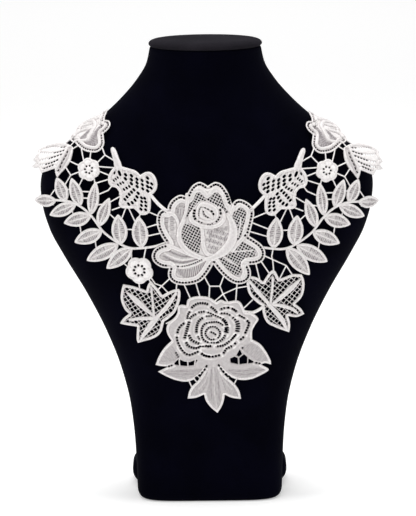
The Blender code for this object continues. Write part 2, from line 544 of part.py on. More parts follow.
def largest_piece(name, verts, triangles):
    """Triangles joined along edges, without crumbs and without corners that only touch."""
    mesh = bmesh.new()
    new = [mesh.verts.new((v[0], v[1], 0)) for v in verts]
    for triangle in triangles:
        mesh.faces.new([new[k] for k in triangle])
    mesh.faces.ensure_lookup_table()
    mesh.faces.index_update()
    mesh.verts.index_update()
    for vert in new:
        while sum(e.is_boundary for e in vert.link_edges) > 2:
            fans = []
            left = set(vert.link_faces)
            while left:
                fan, queue = set(), [next(iter(left))]
                while queue:
                    face = queue.pop()
                    if face in fan:
                        continue
                    fan.add(face)
                    for edge in face.edges:
                        if vert in edge.verts:
                            queue += [f for f in edge.link_faces if f not in fan]
                fans.append(fan)
                left -= fan
            smallest = min(fans, key=lambda fan: sum(f.calc_area() for f in fan))
            bmesh.ops.delete(mesh, geom=list(smallest), context="FACES_ONLY")
    groups = []
    left = set(mesh.faces)
    while left:
        group, queue = set(), [next(iter(left))]
        while queue:
            face = queue.pop()
            if face in group:
                continue
            group.add(face)
            queue += [f for edge in face.edges for f in edge.link_faces if f not in group]
        groups.append(group)
        left -= group
    groups.sort(key=lambda g: -sum(f.calc_area() for f in g))
    for crumb in groups[1:]:
        size = sum(f.calc_area() for f in crumb)
        if size > 1.5:
            print(f"{name}: a loose piece of {size:.1f} square millimetres was dropped")
    kept = [tuple(v.index for v in f.verts) for f in groups[0]]
    mesh.free()
    return sorted(kept)


def make_material(name, colour, roughness, sheen=0.0):
    material = bpy.data.materials.new(name)
    material.use_nodes = True
    shader = material.node_tree.nodes["Principled BSDF"]
    shader.inputs["Base Color"].default_value = (*colour, 1)
    shader.inputs["Roughness"].default_value = roughness
    shader.inputs["Metallic"].default_value = 0
    shader.inputs["Sheen Weight"].default_value = sheen
    return material


def add_object(name, mesh, material, collection):
    made = bpy.data.objects.new(name, mesh)
    made.data.materials.append(material)
    collection.objects.link(made)
    return made


def make_lace(name, kinds, ridges, spacing, material, collection):
    """One motif: its flat surface on the form, with a wall outside that is thicker on the ridges."""
    verts, triangles, raised = flat_mesh(name, kinds, ridges, spacing)
    used = sorted({k for t in triangles for k in t})
    place = {k: i for i, k in enumerate(used)}
    mesh = bpy.data.meshes.new(name)
    spots = [on_form(verts[k][0], verts[k][1]) * MM for k in used]
    mesh.from_pydata(spots, [], [[place[k] for k in t] for t in triangles])
    made = add_object(name, mesh, material, collection)
    group = made.vertex_groups.new(name="relief")
    group.add([place[k] for k in raised if k in place], 1.0, "REPLACE")
    wall = made.modifiers.new("wall", "SOLIDIFY")
    wall.thickness = LACE_RELIEF * MM
    wall.offset = 1
    wall.vertex_group = "relief"
    wall.thickness_vertex_group = LACE_WALL / LACE_RELIEF


def loft(name, rings, material, collection):
    """A closed solid through rings of points, with flat ends."""
    mesh = bmesh.new()
    loops = [[mesh.verts.new(Vector(p) * MM) for p in r] for r in rings]
    for low, high in zip(loops, loops[1:]):
        for k in range(len(low)):
            after = (k + 1) % len(low)
            mesh.faces.new((low[k], low[after], high[after], high[k]))
    mesh.faces.new(loops[0][::-1])
    mesh.faces.new(loops[-1])
    data = bpy.data.meshes.new(name)
    mesh.to_mesh(data)
    mesh.free()
    data.shade_smooth()
    data.set_sharp_from_angle(angle=math.radians(50))
    return add_object(name, data, material, collection)


def section_ring(height, inset=0.0, count=36, z=None):
    """The stand's outline at a height, drawn in by the inset."""
    wide, front, back, power = (
        float(between(SECTIONS[:, 0], SECTIONS[:, k], np.array(height))) for k in (1, 2, 3, 4)
    )
    out = []
    for k in range(count):
        a = 2 * math.pi * k / count
        c, s = math.cos(a), math.sin(a)
        deep = front if s < 0 else back
        x = (wide - inset) * math.copysign(abs(c) ** (2 / power), c)
        y = (deep - inset) * math.copysign(abs(s) ** (2 / power), s)
        out.append((x, y, height if z is None else z))
    return out


def make_stand(material, collection):
    heights = (6, 24, 42, 60, 78, 95, 111, 127, 143, 159, 175, 191)
    levels = [(0, 4.2), (1.0, 2.0), (3.0, 0.6)] + [(z, 0) for z in heights]
    levels += [(z, 0) for z in (206, 219, 231, 242, 251, 259, 266, 273, 281, 290, 300, 311, 323, 336, 350)]
    loft("stand_body", [section_ring(z, inset) for z, inset in levels], material, collection)

    base = BODY_TOP + CAP_GAP
    steps = ((0, 0.8), (1.0, -0.6), (2.2, -1.0), (3.6, -0.4), (4.8, 1.4), (CAP_THICK, 5.2))
    rings = [section_ring(BODY_TOP, inset, z=base + up) for up, inset in steps]
    loft("stand_neck_cap", rings, material, collection)

    back_face = float(SECTIONS[0, 3]) + CAP_GAP
    foot = bmesh.new()
    bmesh.ops.create_cube(foot, size=1)
    size = Vector((2 * FOOT_HALF_WIDTH, FOOT_DEPTH, FOOT_HEIGHT)) * MM
    middle = Vector((0, back_face + FOOT_DEPTH / 2, FOOT_HEIGHT / 2)) * MM
    for vert in foot.verts:
        vert.co = Vector(a * b for a, b in zip(vert.co, size)) + middle
    mesh = bpy.data.meshes.new("stand_foot")
    foot.to_mesh(mesh)
    foot.free()
    made = add_object("stand_foot", mesh, material, collection)
    soft = made.modifiers.new("soft edges", "BEVEL")
    soft.width = FOOT_ROUND * MM
    soft.segments = 4
    soft.limit_method = "ANGLE"


def make_collar(material, collection):
    """Every motif, each trimmed where it meets those made before it."""
    rows = motifs()
    for index, (name, shapes, bars, holes, ridges) in enumerate(rows):
        own = shapes + bars
        earlier = [o for row in rows[:index] for o in row[1] if near(o, own)]
        later = [o for row in rows[index + 1 :] for o in row[1] if near(o, own)]
        tied = [o for row in rows[:index] for o in row[2] if near(o, own)]
        kinds = {
            "shape": shapes,
            "bar": bars,
            "hole": list(holes),
            "earlier motif": [grown(o, SEAM) for o in earlier],
            "later motif": [grown(o, SEAM) for o in later],
            "earlier bar": [grown(o, SEAM) for o in tied],
        }
        make_lace(name, kinds, ridges, SPACING, material, collection)


def main():
    for old in list(bpy.data.objects):
        bpy.data.objects.remove(old)
    collection = bpy.data.collections.new("lace_collar_on_bust_stand")
    bpy.context.scene.collection.children.link(collection)
    velvet = make_material("black_velvet", (0.006, 0.006, 0.012), 0.95, 0.4)
    cotton = make_material("white_cotton_lace", (0.86, 0.84, 0.82), 0.8, 0.1)
    make_stand(velvet, collection)
    make_collar(cotton, collection)


main()
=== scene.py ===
# Looks of a white guipure lace collar on a black velvet bust stand.
#
# Each motif of the lace is painted on a fine grid of the flat chart that the CAD model uses,
# as thickness and edges of the stitched cloth, and is then meshed and laid on the same form.
# Chart lengths are in millimetres, U sideways from the front centre line and V up it.

import math

import bpy
import numpy as np
from mathutils import Matrix, Vector


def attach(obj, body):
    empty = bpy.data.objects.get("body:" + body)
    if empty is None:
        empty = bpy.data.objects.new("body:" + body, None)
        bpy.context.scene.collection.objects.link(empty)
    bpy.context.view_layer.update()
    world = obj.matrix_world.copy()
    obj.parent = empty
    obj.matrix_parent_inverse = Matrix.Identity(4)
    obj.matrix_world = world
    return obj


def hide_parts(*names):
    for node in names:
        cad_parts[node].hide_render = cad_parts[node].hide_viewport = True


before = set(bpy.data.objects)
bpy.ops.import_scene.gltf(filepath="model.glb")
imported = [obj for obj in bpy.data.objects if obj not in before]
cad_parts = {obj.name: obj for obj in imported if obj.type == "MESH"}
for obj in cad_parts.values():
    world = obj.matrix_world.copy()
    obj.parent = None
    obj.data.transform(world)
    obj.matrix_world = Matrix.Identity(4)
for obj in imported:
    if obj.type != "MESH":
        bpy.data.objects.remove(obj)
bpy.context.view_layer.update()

MM = 0.001

# The stand and the form that the lace lies on, as in the CAD model
BODY_TOP = 350.0
CAP_GAP = 0.3
CAP_THICK = 5.7
FOOT_HALF_WIDTH = 61.0
FOOT_DEPTH = 40.0
FOOT_HEIGHT = 24.0
FOOT_ROUND = 11.0
CLEARANCE = 0.9

# height, half width, front and back depth, power of the superellipse
SECTIONS = np.array([
    (0, 56.4, 42, 5, 5.2), (40, 57.9, 42.5, 5, 4.2), (70, 61, 43.5, 11, 3.4),
    (100, 68.1, 47, 19, 2.8), (130, 79.5, 51, 28, 2.5), (160, 94.4, 54.5, 36, 2.35),
    (190, 111.8, 57, 41.5, 2.3), (210, 122, 57, 43, 2.3), (228, 127, 56, 43, 2.3),
    (243, 128.4, 54, 42, 2.3), (256, 126.3, 51.5, 40.5, 2.3), (267, 119, 49, 39, 2.3),
    (280, 102.8, 46, 37.5, 2.25), (295, 82.3, 43, 36, 2.2), (310, 65.8, 39.5, 34.5, 2.1),
    (325, 52.9, 36.5, 33.5, 2.05), (338, 45.2, 35, 33, 2.0), (350, 42.5, 34.5, 33, 2.0),
], float)
# height, extra half width of the lace off the shoulders
STAND_OFF = np.array([
    (0, 0), (190, 0), (205, 1), (220, 3), (235, 5), (250, 9), (262, 12), (271, 13),
    (280, 9.5), (290, 7), (300, 4.5), (312, 4), (350, 4),
], float)
BACK_SHARE = 0.4
CELL = 6.0
FINER = 4
V_LOW, V_HIGH, U_REACH = -144.0, 138.0, 156.0
V_ZERO_HEIGHT = 200.0
ROUNDS_A_COLUMN, ROUNDS_IN_ALL = 6, 150
EASE = 1.6            # share of a cell's misfit that one round takes up
LACE_TURN = -0.9      # degrees that the lace hangs askew on the stand
LACE_HEIGHT = 0.99    # and its height, to the drawn one
NARROW, WIDE = (-60.0, 84.0), (-20.0, 156.0)

# Stitched cloth: heights over the form
UNDERSIDE = 0.12
MIDDLE = 0.6          # where the upper and lower faces meet at an edge
FLAT = 1.15           # plain satin
THIN = 0.95           # loosely filled satin
CORD = 1.35
PADDED = 2.15
THREAD_TOP, THREAD_LOW = 1.05, 0.3
ROUND = 0.6           # how far in an edge is rounded
FAR = 9.0
REACH = 2.0           # how far from an outline distances are measured, if nothing else is said
MARGIN = 1.2          # of the grid round a motif
TINY = 1e-9
GROOVE_AWAY, GROOVE_WIDTH = 0.15, 0.38
CROWN_PAINTED_SHADE = 0.12    # painted shade that darkens the crown of a padded band
THREAD_DENSE, SPARSE = 0.92, 0.1
HOLE_POWER = 2.6      # of the curve round an opening: 2 is an ellipse
NEAREST_CUT = 0.12    # how near the edge may cross a cell to one of its corners
LEAST_EDGE = 1e-4
LEAST_RISE = 0.15
# painted shade in recesses: rounds of blurring of the heights, and the depth below the blurred heights that is
# shaded fully
PAINTED_SHADE_BLUR, PAINTED_SHADE_DEPTH = 10, 0.5
THREAD_PITCH = 0.42   # of the stitches that a satin's surface shows


def between(xs, ys, x):
    """Smooth interpolation that never overshoots its table."""
    x = np.clip(x, xs[0], xs[-1])
    step, rise = np.diff(xs), np.diff(ys) / np.diff(xs)
    slope = np.zeros(len(xs))
    slope[0], slope[-1] = rise[0], rise[-1]
    for k in range(1, len(xs) - 1):
        if rise[k - 1] * rise[k] > 0:
            before, after = 2 * step[k] + step[k - 1], step[k] + 2 * step[k - 1]
            slope[k] = (before + after) / (before / rise[k - 1] + after / rise[k])
    i = np.clip(np.searchsorted(xs, x, side="right") - 1, 0, len(step) - 1)
    t = (x - xs[i]) / step[i]
    return (
        (1 + 2 * t) * (1 - t) ** 2 * ys[i]
        + t * (1 - t) ** 2 * step[i] * slope[i]
        + t * t * (3 - 2 * t) * ys[i + 1]
        + t * t * (t - 1) * step[i] * slope[i + 1]
    )


def spline(a, b, c, d, f):
    """A place at the share f of the way from b to c, on the smooth curve through a, b, c and d."""
    return b + 0.5 * f * (c - a + f * (2 * a - 5 * b + 4 * c - d + f * (3 * (b - c) + d - a)))


def extended(p):
    """The points with one more at each end, straight on."""
    return np.concatenate([[2 * p[0] - p[1]], p, [2 * p[-1] - p[-2]]])


def turned(u, v, angle):
    """Coordinates along and across a direction, given by its angle."""
    c, s = math.cos(angle), math.sin(angle)
    return u * c + v * s, v * c - u * s


def section(z):
    """Half width, front and back depth and power of the stand at a height."""
    return [between(SECTIONS[:, 0], SECTIONS[:, k], z) for k in (1, 2, 3, 4)]


def lace_level(p):
    """0 on the surface that the lace lies on, more outside it."""
    x, y, z = p[..., 0], p[..., 1], p[..., 2]
    wide, front, back, power = section(z)
    off = between(STAND_OFF[:, 0], STAND_OFF[:, 1], z)
    wide = wide + CLEARANCE + off
    deep = np.where(y < 0, front + CLEARANCE, back + CLEARANCE + BACK_SHARE * off)
    return ((np.abs(x) / wide) ** power + (np.abs(y) / deep) ** power) ** (1 / power) - 1


def slope_of(p):
    e = 0.001
    return np.stack([(lace_level(p + d) - lace_level(p - d)) / (2 * e) for d in np.eye(3) * e], -1)


def settle(p, rounds):
    for _ in range(rounds):
        g = slope_of(p)
        p = p - (lace_level(p) / (g * g).sum(-1))[..., None] * g
    return p


def relax(p, used, rounds):
    """The net of points eased until its cells keep their size, as cloth does."""
    links = (((0, 1), CELL), ((1, 0), CELL), ((1, 1), CELL * 2**0.5), ((1, -1), CELL * 2**0.5))
    high, wide = p.shape[:2]
    for _ in range(rounds):
        move, count = np.zeros_like(p), np.zeros(p.shape[:2])
        for (di, dj), length in links:
            a = (slice(0, high - di), slice(max(0, -dj), wide - max(0, dj)))
            b = (slice(di, high), slice(max(0, dj), wide - max(0, -dj)))
            both = used[a] & used[b]
            gap = p[b] - p[a]
            size = np.linalg.norm(gap, axis=-1)
            pull = (0.5 * (size - length) / np.maximum(size, 1e-6) * both)[..., None] * gap
            move[a] += pull
            move[b] -= pull
            count[a] += both
            count[b] += both
        move[:, 0] = 0
        p = settle(p + EASE * move / np.maximum(count, 1)[..., None], 1)
    return p


def finer(p, axis):
    """Points along one axis, FINER to a cell, on smooth curves through the coarse ones."""
    p = np.moveaxis(p, axis, 0)
    ends = extended(p)
    t = np.arange((len(p) - 1) * FINER + 1) / FINER
    i = np.minimum(t.astype(int), len(p) - 2)
    f = (t - i).reshape((-1,) + (1,) * (p.ndim - 1))
    q = spline(ends[i], ends[i + 1], ends[i + 2], ends[i + 3], f)
    return np.moveaxis(q, 0, axis)


def drape():
    """The chart on the form: rows up the front from V_LOW, columns sideways from U 0."""
    z = np.arange(V_ZERO_HEIGHT + V_LOW - 10, BODY_TOP, 0.5)
    y = -(between(SECTIONS[:, 0], SECTIONS[:, 2], z) + CLEARANCE)
    run = np.concatenate([[0], np.cumsum(np.hypot(np.diff(z), np.diff(y)))])
    v = np.arange(V_LOW, V_HIGH + 1, CELL)
    u = np.arange(0, U_REACH + 1, CELL)
    along = v + np.interp(V_ZERO_HEIGHT, z, run)
    middle = np.stack([0 * v, np.interp(along, run, y), np.interp(along, run, z)], -1)
    used = u[None, :] <= np.interp(v, (NARROW[0], WIDE[0]), (NARROW[1], WIDE[1]))[:, None]
    net = np.zeros((len(v), len(u), 3))
    net[:, 0] = middle
    net[:, 1] = settle(middle + [CELL, 0, 0], 3)
    for j in range(2, len(u)):
        net[:, j] = settle(2 * net[:, j - 1] - net[:, j - 2], 3)
        net[:, : j + 1] = relax(net[:, : j + 1], used[:, : j + 1], ROUNDS_A_COLUMN)
    net = relax(net, used, ROUNDS_IN_ALL)
    return settle(finer(finer(net, 0), 1), 2)


NET = drape()
NORMALS = slope_of(NET)
NORMALS /= np.linalg.norm(NORMALS, axis=-1, keepdims=True)


def on_form(u, v, height):
    """Places on the form of points of the chart, so many millimetres over it."""
    u, v = turned(u, v * LACE_HEIGHT, -math.radians(LACE_TURN))
    cell = CELL / FINER
    i = np.clip((v - V_LOW) / cell, 0, NET.shape[0] - 1.001)
    j = np.clip(np.abs(u) / cell, 0, NET.shape[1] - 1.001)
    i0, j0 = i.astype(int), j.astype(int)
    fi, fj = (i - i0)[:, None], (j - j0)[:, None]

    def mixed(grid):
        low = (1 - fj) * grid[i0, j0] + fj * grid[i0, j0 + 1]
        high = (1 - fj) * grid[i0 + 1, j0] + fj * grid[i0 + 1, j0 + 1]
        return (1 - fi) * low + fi * high

    normal = mixed(NORMALS)
    normal /= np.linalg.norm(normal, axis=-1, keepdims=True)
    p = mixed(NET) + normal * height[:, None]
    p[:, 0] = np.where(u < 0, -p[:, 0], p[:, 0])
    return p


# Outlines in the chart, and the parts that their curves are divided into

OUTLINE_PARTS, PETAL_PARTS, CIRCLE_PARTS, LEAF_PARTS = 6, 24, 48, 28


def curve(points, parts=8):
    """A smooth open curve through the points; further columns, such as a width, go with them."""
    p = np.array(points, float)
    ends = extended(p)
    out = [spline(*ends[i : i + 4], f) for i in range(len(p) - 1) for f in np.arange(parts) / parts]
    return np.array(out + [p[-1]])


def lobes(*runs):
    """A closed outline of smooth lobes with a corner where one meets the next."""
    out = []
    for run, following in zip(runs, runs[1:] + runs[:1]):
        out += list(curve(list(run) + [following[0]], OUTLINE_PARTS)[:-1])
    return np.array(out)


def closed(points):
    """A smooth closed outline through the points."""
    p = [points[-1]] + list(points) + [points[0], points[1]]
    return curve(p, OUTLINE_PARTS)[OUTLINE_PARTS : -OUTLINE_PARTS - 1]


def flower(centre, radius, petals, depth, turn):
    """A round outline with so many shallow petals."""
    count = petals * PETAL_PARTS
    a = 2 * math.pi * np.arange(count) / count
    r = radius * (1 - depth * (1 - np.abs(np.sin(a * petals / 2))))
    return np.stack([centre[0] + r * np.cos(a + turn), centre[1] + r * np.sin(a + turn)], 1)


def circle(centre, radius):
    a = np.radians(np.linspace(0, 360, CIRCLE_PARTS + 1))
    return np.stack([centre[0] + radius * np.cos(a), centre[1] + radius * np.sin(a)], 1)


def leaf(base, tip, width):
    """A pointed oval from base to tip, fullest a little before its middle."""
    base, tip = np.array(base, float), np.array(tip, float)
    along = tip - base
    side = np.array([-along[1], along[0]]) / np.linalg.norm(along)
    t = np.arange(1, LEAF_PARTS) / LEAF_PARTS
    half = width / 2 * np.sin(math.pi * t**0.85) ** 0.75
    right = base + along * t[:, None] - side * half[:, None]
    left = base + along * t[:, None] + side * half[:, None]
    return np.concatenate([[base], right, [tip], left[::-1]])


def spaced(points, pitch):
    """Places along a line at an even pitch, with the angle of the line at each."""
    p = np.array(points, float)[:, :2]
    run = np.concatenate([[0], np.cumsum(np.linalg.norm(np.diff(p, axis=0), axis=1))])
    count = max(1, round(run[-1] / pitch))
    at = (np.arange(count) + 0.5) * run[-1] / count

    def place(distance):
        return np.stack([np.interp(distance, run, p[:, k]) for k in (0, 1)], 1)

    way = place(at + 0.2) - place(at - 0.2)
    return zip(place(at), np.arctan2(way[:, 1], way[:, 0]))


def eased(x):
    """0 up to 0, 1 from 1, with a soft step between them."""
    x = np.clip(x, 0, 1)
    return x * x * (3 - 2 * x)


class Patch:
    """One motif of the lace, sampled on a fine grid of the chart.

    edge is the distance inside the cloth, negative in its openings. top and bottom are the heights
    of its faces, the density field is how closely it is stitched and also carries painted shade on the
    crowns of padded bands, and along and across place its threads.
    """

    def __init__(self, outlines, step):
        points = np.concatenate([np.array(o, float)[:, :2] for o in outlines])
        self.low, self.step = points.min(0) - MARGIN, step
        high = points.max(0) + MARGIN
        self.u, self.v = np.meshgrid(
            np.arange(self.low[0], high[0], step), np.arange(self.low[1], high[1], step)
        )
        self.edge = np.full(self.u.shape, -FAR)
        self.top = np.full(self.u.shape, FLAT)
        self.bottom = np.full(self.u.shape, UNDERSIDE)
        self.density_and_shade = np.ones(self.u.shape)
        self.along, self.across = self.v.copy(), self.u.copy()

    def window(self, low, high):
        """The part of the grid that a box of the chart covers."""
        a = np.maximum(np.floor((np.array(low) - self.low) / self.step).astype(int), 0)
        b = np.maximum(np.ceil((np.array(high) - self.low) / self.step).astype(int) + 1, 0)
        return slice(a[1], b[1]), slice(a[0], b[0])

    def meets(self, outline):
        """Whether an outline may reach the grid."""
        return np.all(outline.max(0) > self.low) and outline[:, 0].min() < self.u.max()

    def to_line(self, points, reach):
        """Distance to a line, the place along it and its width there, if it has widths."""
        p = np.array(points, float)
        distance = np.full(self.u.shape, float(reach))
        along, width = np.zeros(self.u.shape), np.zeros(self.u.shape)
        run = 0.0
        for a, b in zip(p, p[1:]):
            way = b - a
            length = math.hypot(way[0], way[1])
            if length < TINY:
                continue
            box = self.window(np.minimum(a, b)[:2] - reach, np.maximum(a, b)[:2] + reach)
            du, dv = self.u[box] - a[0], self.v[box] - a[1]
            t = np.clip((du * way[0] + dv * way[1]) / length**2, 0, 1)
            gap = np.hypot(du - t * way[0], dv - t * way[1])
            closer = gap < distance[box]
            distance[box][closer] = gap[closer]
            along[box][closer] = run + t[closer] * length
            if len(a) > 2:
                width[box][closer] = a[2] + way[2] * t[closer]
            run += length
        return distance, along, width

    def inside(self, outline):
        p = np.array(outline, float)
        found = np.zeros(self.u.shape, bool)
        box = self.window(p.min(0), p.max(0))
        u, v = self.u[box], self.v[box]
        for (u0, v0), (u1, v1) in zip(p, np.roll(p, -1, 0)):
            if v0 != v1:
                found[box] ^= ((v0 > v) != (v1 > v)) & (u < (u1 - u0) * (v - v0) / (v1 - v0) + u0)
        return found

    def depth(self, outline, reach=REACH):
        """Distance inside a closed outline, negative outside, and the place along it."""
        distance, along, _ = self.to_line(list(outline) + [outline[0]], reach)
        return np.where(self.inside(outline), distance, -distance), along

    def fill(self, depth, top=FLAT, density_and_shade=1.0):
        """Cloth wherever the depth is positive."""
        here = depth > 0
        self.edge = np.maximum(self.edge, depth)
        self.top[here] = top
        self.density_and_shade[here] = density_and_shade

    def band(self, points, width=None, top=PADDED, groove=0.3, foot=FLAT):
        """A rounded band of satin stitch along a line. The line's third column may be its width."""
        path = curve(points)
        widest = width or path[:, 2].max()
        distance, along, widths = self.to_line(path, widest / 2 + 1.5)
        half = np.maximum((width or widths) / 2, 0.05)
        self.lay(half - distance, distance / half, along, distance, top, groove, foot)

    def rim(self, depth, along, centre, width, top, groove=0.3, foot=FLAT):
        """A rounded band that follows an outline at some depth inside it."""
        away = np.abs(depth - centre)
        self.lay(width / 2 - away, 2 * away / width, along, depth, top, groove, foot)

    def lay(self, edge, across, along, side, top, groove, foot):
        """A rounded band over what is there, which dips by the groove beside it."""
        here = edge > 0
        dip = groove * np.exp(-(((edge + GROOVE_AWAY) / GROOVE_WIDTH) ** 2))
        self.top -= np.where(here, 0, dip)
        crown = foot + (top - foot) * np.sqrt(np.clip(1 - across**2, 0, 1))
        # painted shade: the crown of a wide padded band is coloured darker than its sides
        middle = np.clip(1 - across**2, 0, 1) * np.clip(edge / 1.6, 0, 1)
        self.edge = np.maximum(self.edge, edge)
        self.top[here] = crown[here]
        self.bottom[here] = UNDERSIDE
        self.density_and_shade[here] = (1.0 - CROWN_PAINTED_SHADE * middle)[here]
        self.along[here], self.across[here] = along[here], side[here]

    def mark(self, points, width, reach, smooth):
        """1 on a line, fading to 0 beside it over about the width."""
        path = curve(points) if smooth else points
        distance, _, _ = self.to_line(path, reach)
        return np.exp(-((distance / width) ** 2))

    def valley(self, points, width, drop, smooth=True):
        """A soft groove along a line."""
        self.top -= drop * self.mark(points, width, width * 2.5, smooth)

    def lip(self, points, away, rise, gain):
        """Raised, paler stitches along both sides of a line, so far from it."""
        distance, _, _ = self.to_line(curve(points), away * 2.2)
        mark = np.exp(-(((distance - away) / (away * 0.45)) ** 2))
        self.top += rise * mark
        self.density_and_shade = np.clip(self.density_and_shade + gain * mark, SPARSE, 1)

    def hatch(self, outline, angle, pitch, depth=0.16, shade=0.3, density_and_shade=0.74, top=THIN, smooth=True):
        """Thin satin inside an outline, in broken rows of stitches across the angle, in degrees."""
        outline = closed(outline) if smooth else outline
        within, _ = self.depth(outline)
        share = eased(within / 0.7)
        down, beside = turned(self.u, self.v, math.radians(angle))
        down = down + 0.5 * np.sin(0.6 - 0.11 * beside)
        number = np.floor(down / pitch)
        wavy = down + 0.16 * np.sin(1.1 * beside + 2.1 * number)
        row = 0.5 + 0.5 * np.cos(2 * math.pi * wavy / pitch)
        row *= 0.5 + 0.5 * np.sin(0.75 * beside + 2.6 * number)
        self.top += share * (top - depth * row - self.top)
        self.density_and_shade += share * (density_and_shade - shade * row - self.density_and_shade)
        here = share > 0.5
        self.along[here], self.across[here] = beside[here], down[here]

    def streak(self, points, width, shade, drop=0.2, smooth=True):
        """A thin dark line where the stitches part, not cut through; negative is a pale raised one."""
        mark = self.mark(points, width / 2, width * 2.5, smooth)
        self.top -= drop * mark
        self.density_and_shade = np.clip(self.density_and_shade - shade * mark, SPARSE, 1)

    def ticks(self, points, pitch, length, width, shade, drop=0.25, turn=90.0):
        """A row of short dark marks between stitches, across a line unless turned."""
        for k, (spot, angle) in enumerate(spaced(curve(points), pitch)):
            way = angle + math.radians(turn) + 0.12 * math.sin(5.1 * k)
            reach = length / 2 * (0.8 + 0.3 * math.sin(2.9 * k + spot[0]))
            step = reach * np.array([math.cos(way), math.sin(way)])
            strength = shade * (0.8 + 0.3 * math.sin(3.7 * k))
            self.streak([spot - step, spot + step], width, strength, drop, False)

    def net(self, within, pitch, thread, angles, phase):
        """Crossing threads where the depth is positive, in the place of cloth."""
        here = within > 0
        threads = np.full(self.u.shape, -FAR)
        for angle, start in zip(angles, phase):
            place, other = turned(self.u, self.v, math.radians(angle))
            place = place + 0.16 * np.sin(0.5 * self.v - 0.4 * self.u + start * 7)
            edge = thread / 2 - np.abs((place / pitch + start) % 1 - 0.5) * pitch
            over = edge > threads
            threads = np.where(over, edge, threads)
            mine = here & over
            self.along[mine], self.across[mine] = other[mine], place[mine]
        self.edge = np.where(here, np.maximum(threads, -within), np.minimum(self.edge, -within))
        self.top[here] = THREAD_TOP
        self.bottom[here] = THREAD_LOW
        self.density_and_shade[here] = THREAD_DENSE

    def hole(self, centre, angle, length, width):
        """An opening, between an ellipse and a rectangle, whose edge dips a little."""
        reach = max(length, width) / 2 + 1.0
        box = self.window(np.array(centre) - reach, np.array(centre) + reach)
        along, across = turned(self.u[box] - centre[0], self.v[box] - centre[1], angle)
        along, across = along * 2 / length, across * 2 / width
        power = HOLE_POWER
        away = (np.abs(along) ** power + np.abs(across) ** power) ** (1 / power) - 1
        gap = away * min(length, width) / 2
        self.edge[box] = np.minimum(self.edge[box], gap)
        self.top[box] -= 0.14 * np.exp(-((np.maximum(gap, 0) / 0.4) ** 2))

    def row(self, points, pitch, length, width, smooth=True, slant=None):
        """Eyelets along a line. Their length is along it, or at a slant in degrees."""
        path = curve(points) if smooth else points
        for centre, angle in spaced(path, pitch):
            self.hole(centre, angle if slant is None else math.radians(slant), length, width)

    def edge_row(self, outline, inset, pitch, length, width):
        """Eyelets at some depth inside an outline, left out where it folds in."""
        p = np.array(outline, float)
        q = np.roll(p, -1, 0)
        turn = 1 if (p[:, 0] * q[:, 1] - q[:, 0] * p[:, 1]).sum() > 0 else -1
        for at, angle in spaced(np.concatenate([p, p[:1]]), pitch):
            inward = turn * np.array([-math.sin(angle), math.cos(angle)])
            centre = at + inset * inward
            if np.hypot(*(p - centre).T).min() > inset * 0.93:
                self.hole(centre, angle, length, width)

    def trim(self, outlines, gap):
        """The cloth stopped short of other outlines by the gap."""
        for outline in outlines:
            if self.meets(outline):
                within, _ = self.depth(outline)
                self.edge = np.minimum(self.edge, -within - gap)


def largest(count, faces):
    """True for the points of the largest joined group."""
    label = np.arange(count)
    ends = np.concatenate([
        np.stack([f[:, k], f[:, (k + 1) % f.shape[1]]], 1) for f in faces for k in range(f.shape[1])
    ])
    while True:
        least = np.minimum(label[ends[:, 0]], label[ends[:, 1]])
        after = label.copy()
        np.minimum.at(after, ends[:, 0], least)
        np.minimum.at(after, ends[:, 1], least)
        after = after[after]
        if np.array_equal(after, label):
            break
        label = after
    sizes = np.bincount(label, minlength=count)
    return label == sizes.argmax()


def blurred(grid, rounds):
    for _ in range(rounds):
        wider = np.pad(grid, 1, mode="edge")
        grid = (wider[:-2, 1:-1] + wider[2:, 1:-1] + wider[1:-1, :-2] + wider[1:-1, 2:] + grid) / 5
    return grid


def crossings(edge, inside, layers, count):
    """Points where the edge crosses the sides of the cells, and their numbers on each side."""
    cuts, numbers = [], []
    total = 2 * count
    whole, first, last = slice(None), slice(0, -1), slice(1, None)
    for low, high in (((whole, first), (whole, last)), ((first, whole), (last, whole))):
        crossed = inside[low] != inside[high]
        a, b = edge[low][crossed], edge[high][crossed]
        t = np.clip(a / (a - b), NEAREST_CUT, 1 - NEAREST_CUT)[:, None]
        mixed = (1 - t) * layers[low][crossed] + t * layers[high][crossed]
        nearer = np.where(t < 0.5, layers[low][crossed], layers[high][crossed])
        mixed[:, 2:4] = nearer[:, 2:4]
        index = np.full(crossed.shape, -1)
        index[crossed] = total + np.arange(len(a))
        total += len(a)
        cuts.append(mixed)
        numbers.append(index)
    return cuts, numbers, total


def cell_faces(edge, inside, number, flat, upright):
    """The upper faces of the cloth: whole cells, and what the edge leaves of the others."""
    corners = [inside[:-1, :-1], inside[:-1, 1:], inside[1:, 1:], inside[1:, :-1]]
    tops = [number[:-1, :-1], number[:-1, 1:], number[1:, 1:], number[1:, :-1]]
    sides = [flat[:-1, :], upright[:, 1:], flat[1:, :], upright[:, :-1]]
    joined = (edge[:-1, :-1] + edge[:-1, 1:] + edge[1:, 1:] + edge[1:, :-1]) > 0
    quads, triangles = [], []

    def add(where, *corner_names):
        """Faces in the cells where the mask holds: t for a corner, s for a side."""
        columns = [(tops if kind == "t" else sides)[k % 4][where] for kind, k in corner_names]
        (quads if len(columns) == 4 else triangles).append(np.stack(columns, 1))

    add(corners[0] & corners[1] & corners[2] & corners[3], ("t", 0), ("t", 1), ("t", 2), ("t", 3))
    for k in range(4):
        a, b, c, d = (corners[(k + n) % 4] for n in range(4))
        add(a & ~b & ~c & ~d, ("t", k), ("s", k), ("s", k + 3))
        add(a & b & ~c & ~d, ("t", k), ("t", k + 1), ("s", k + 1), ("s", k + 3))
        add(~a & b & c & d, ("t", k + 1), ("t", k + 2), ("t", k + 3), ("s", k + 3))
        add(~a & b & c & d, ("t", k + 1), ("s", k + 3), ("s", k))
        facing = a & ~b & c & ~d
        add(facing & ~joined, ("t", k), ("s", k), ("s", k + 3))
        add(facing & joined, ("t", k), ("s", k), ("s", k + 1), ("t", k + 2))
    return np.concatenate(quads), np.concatenate(triangles)


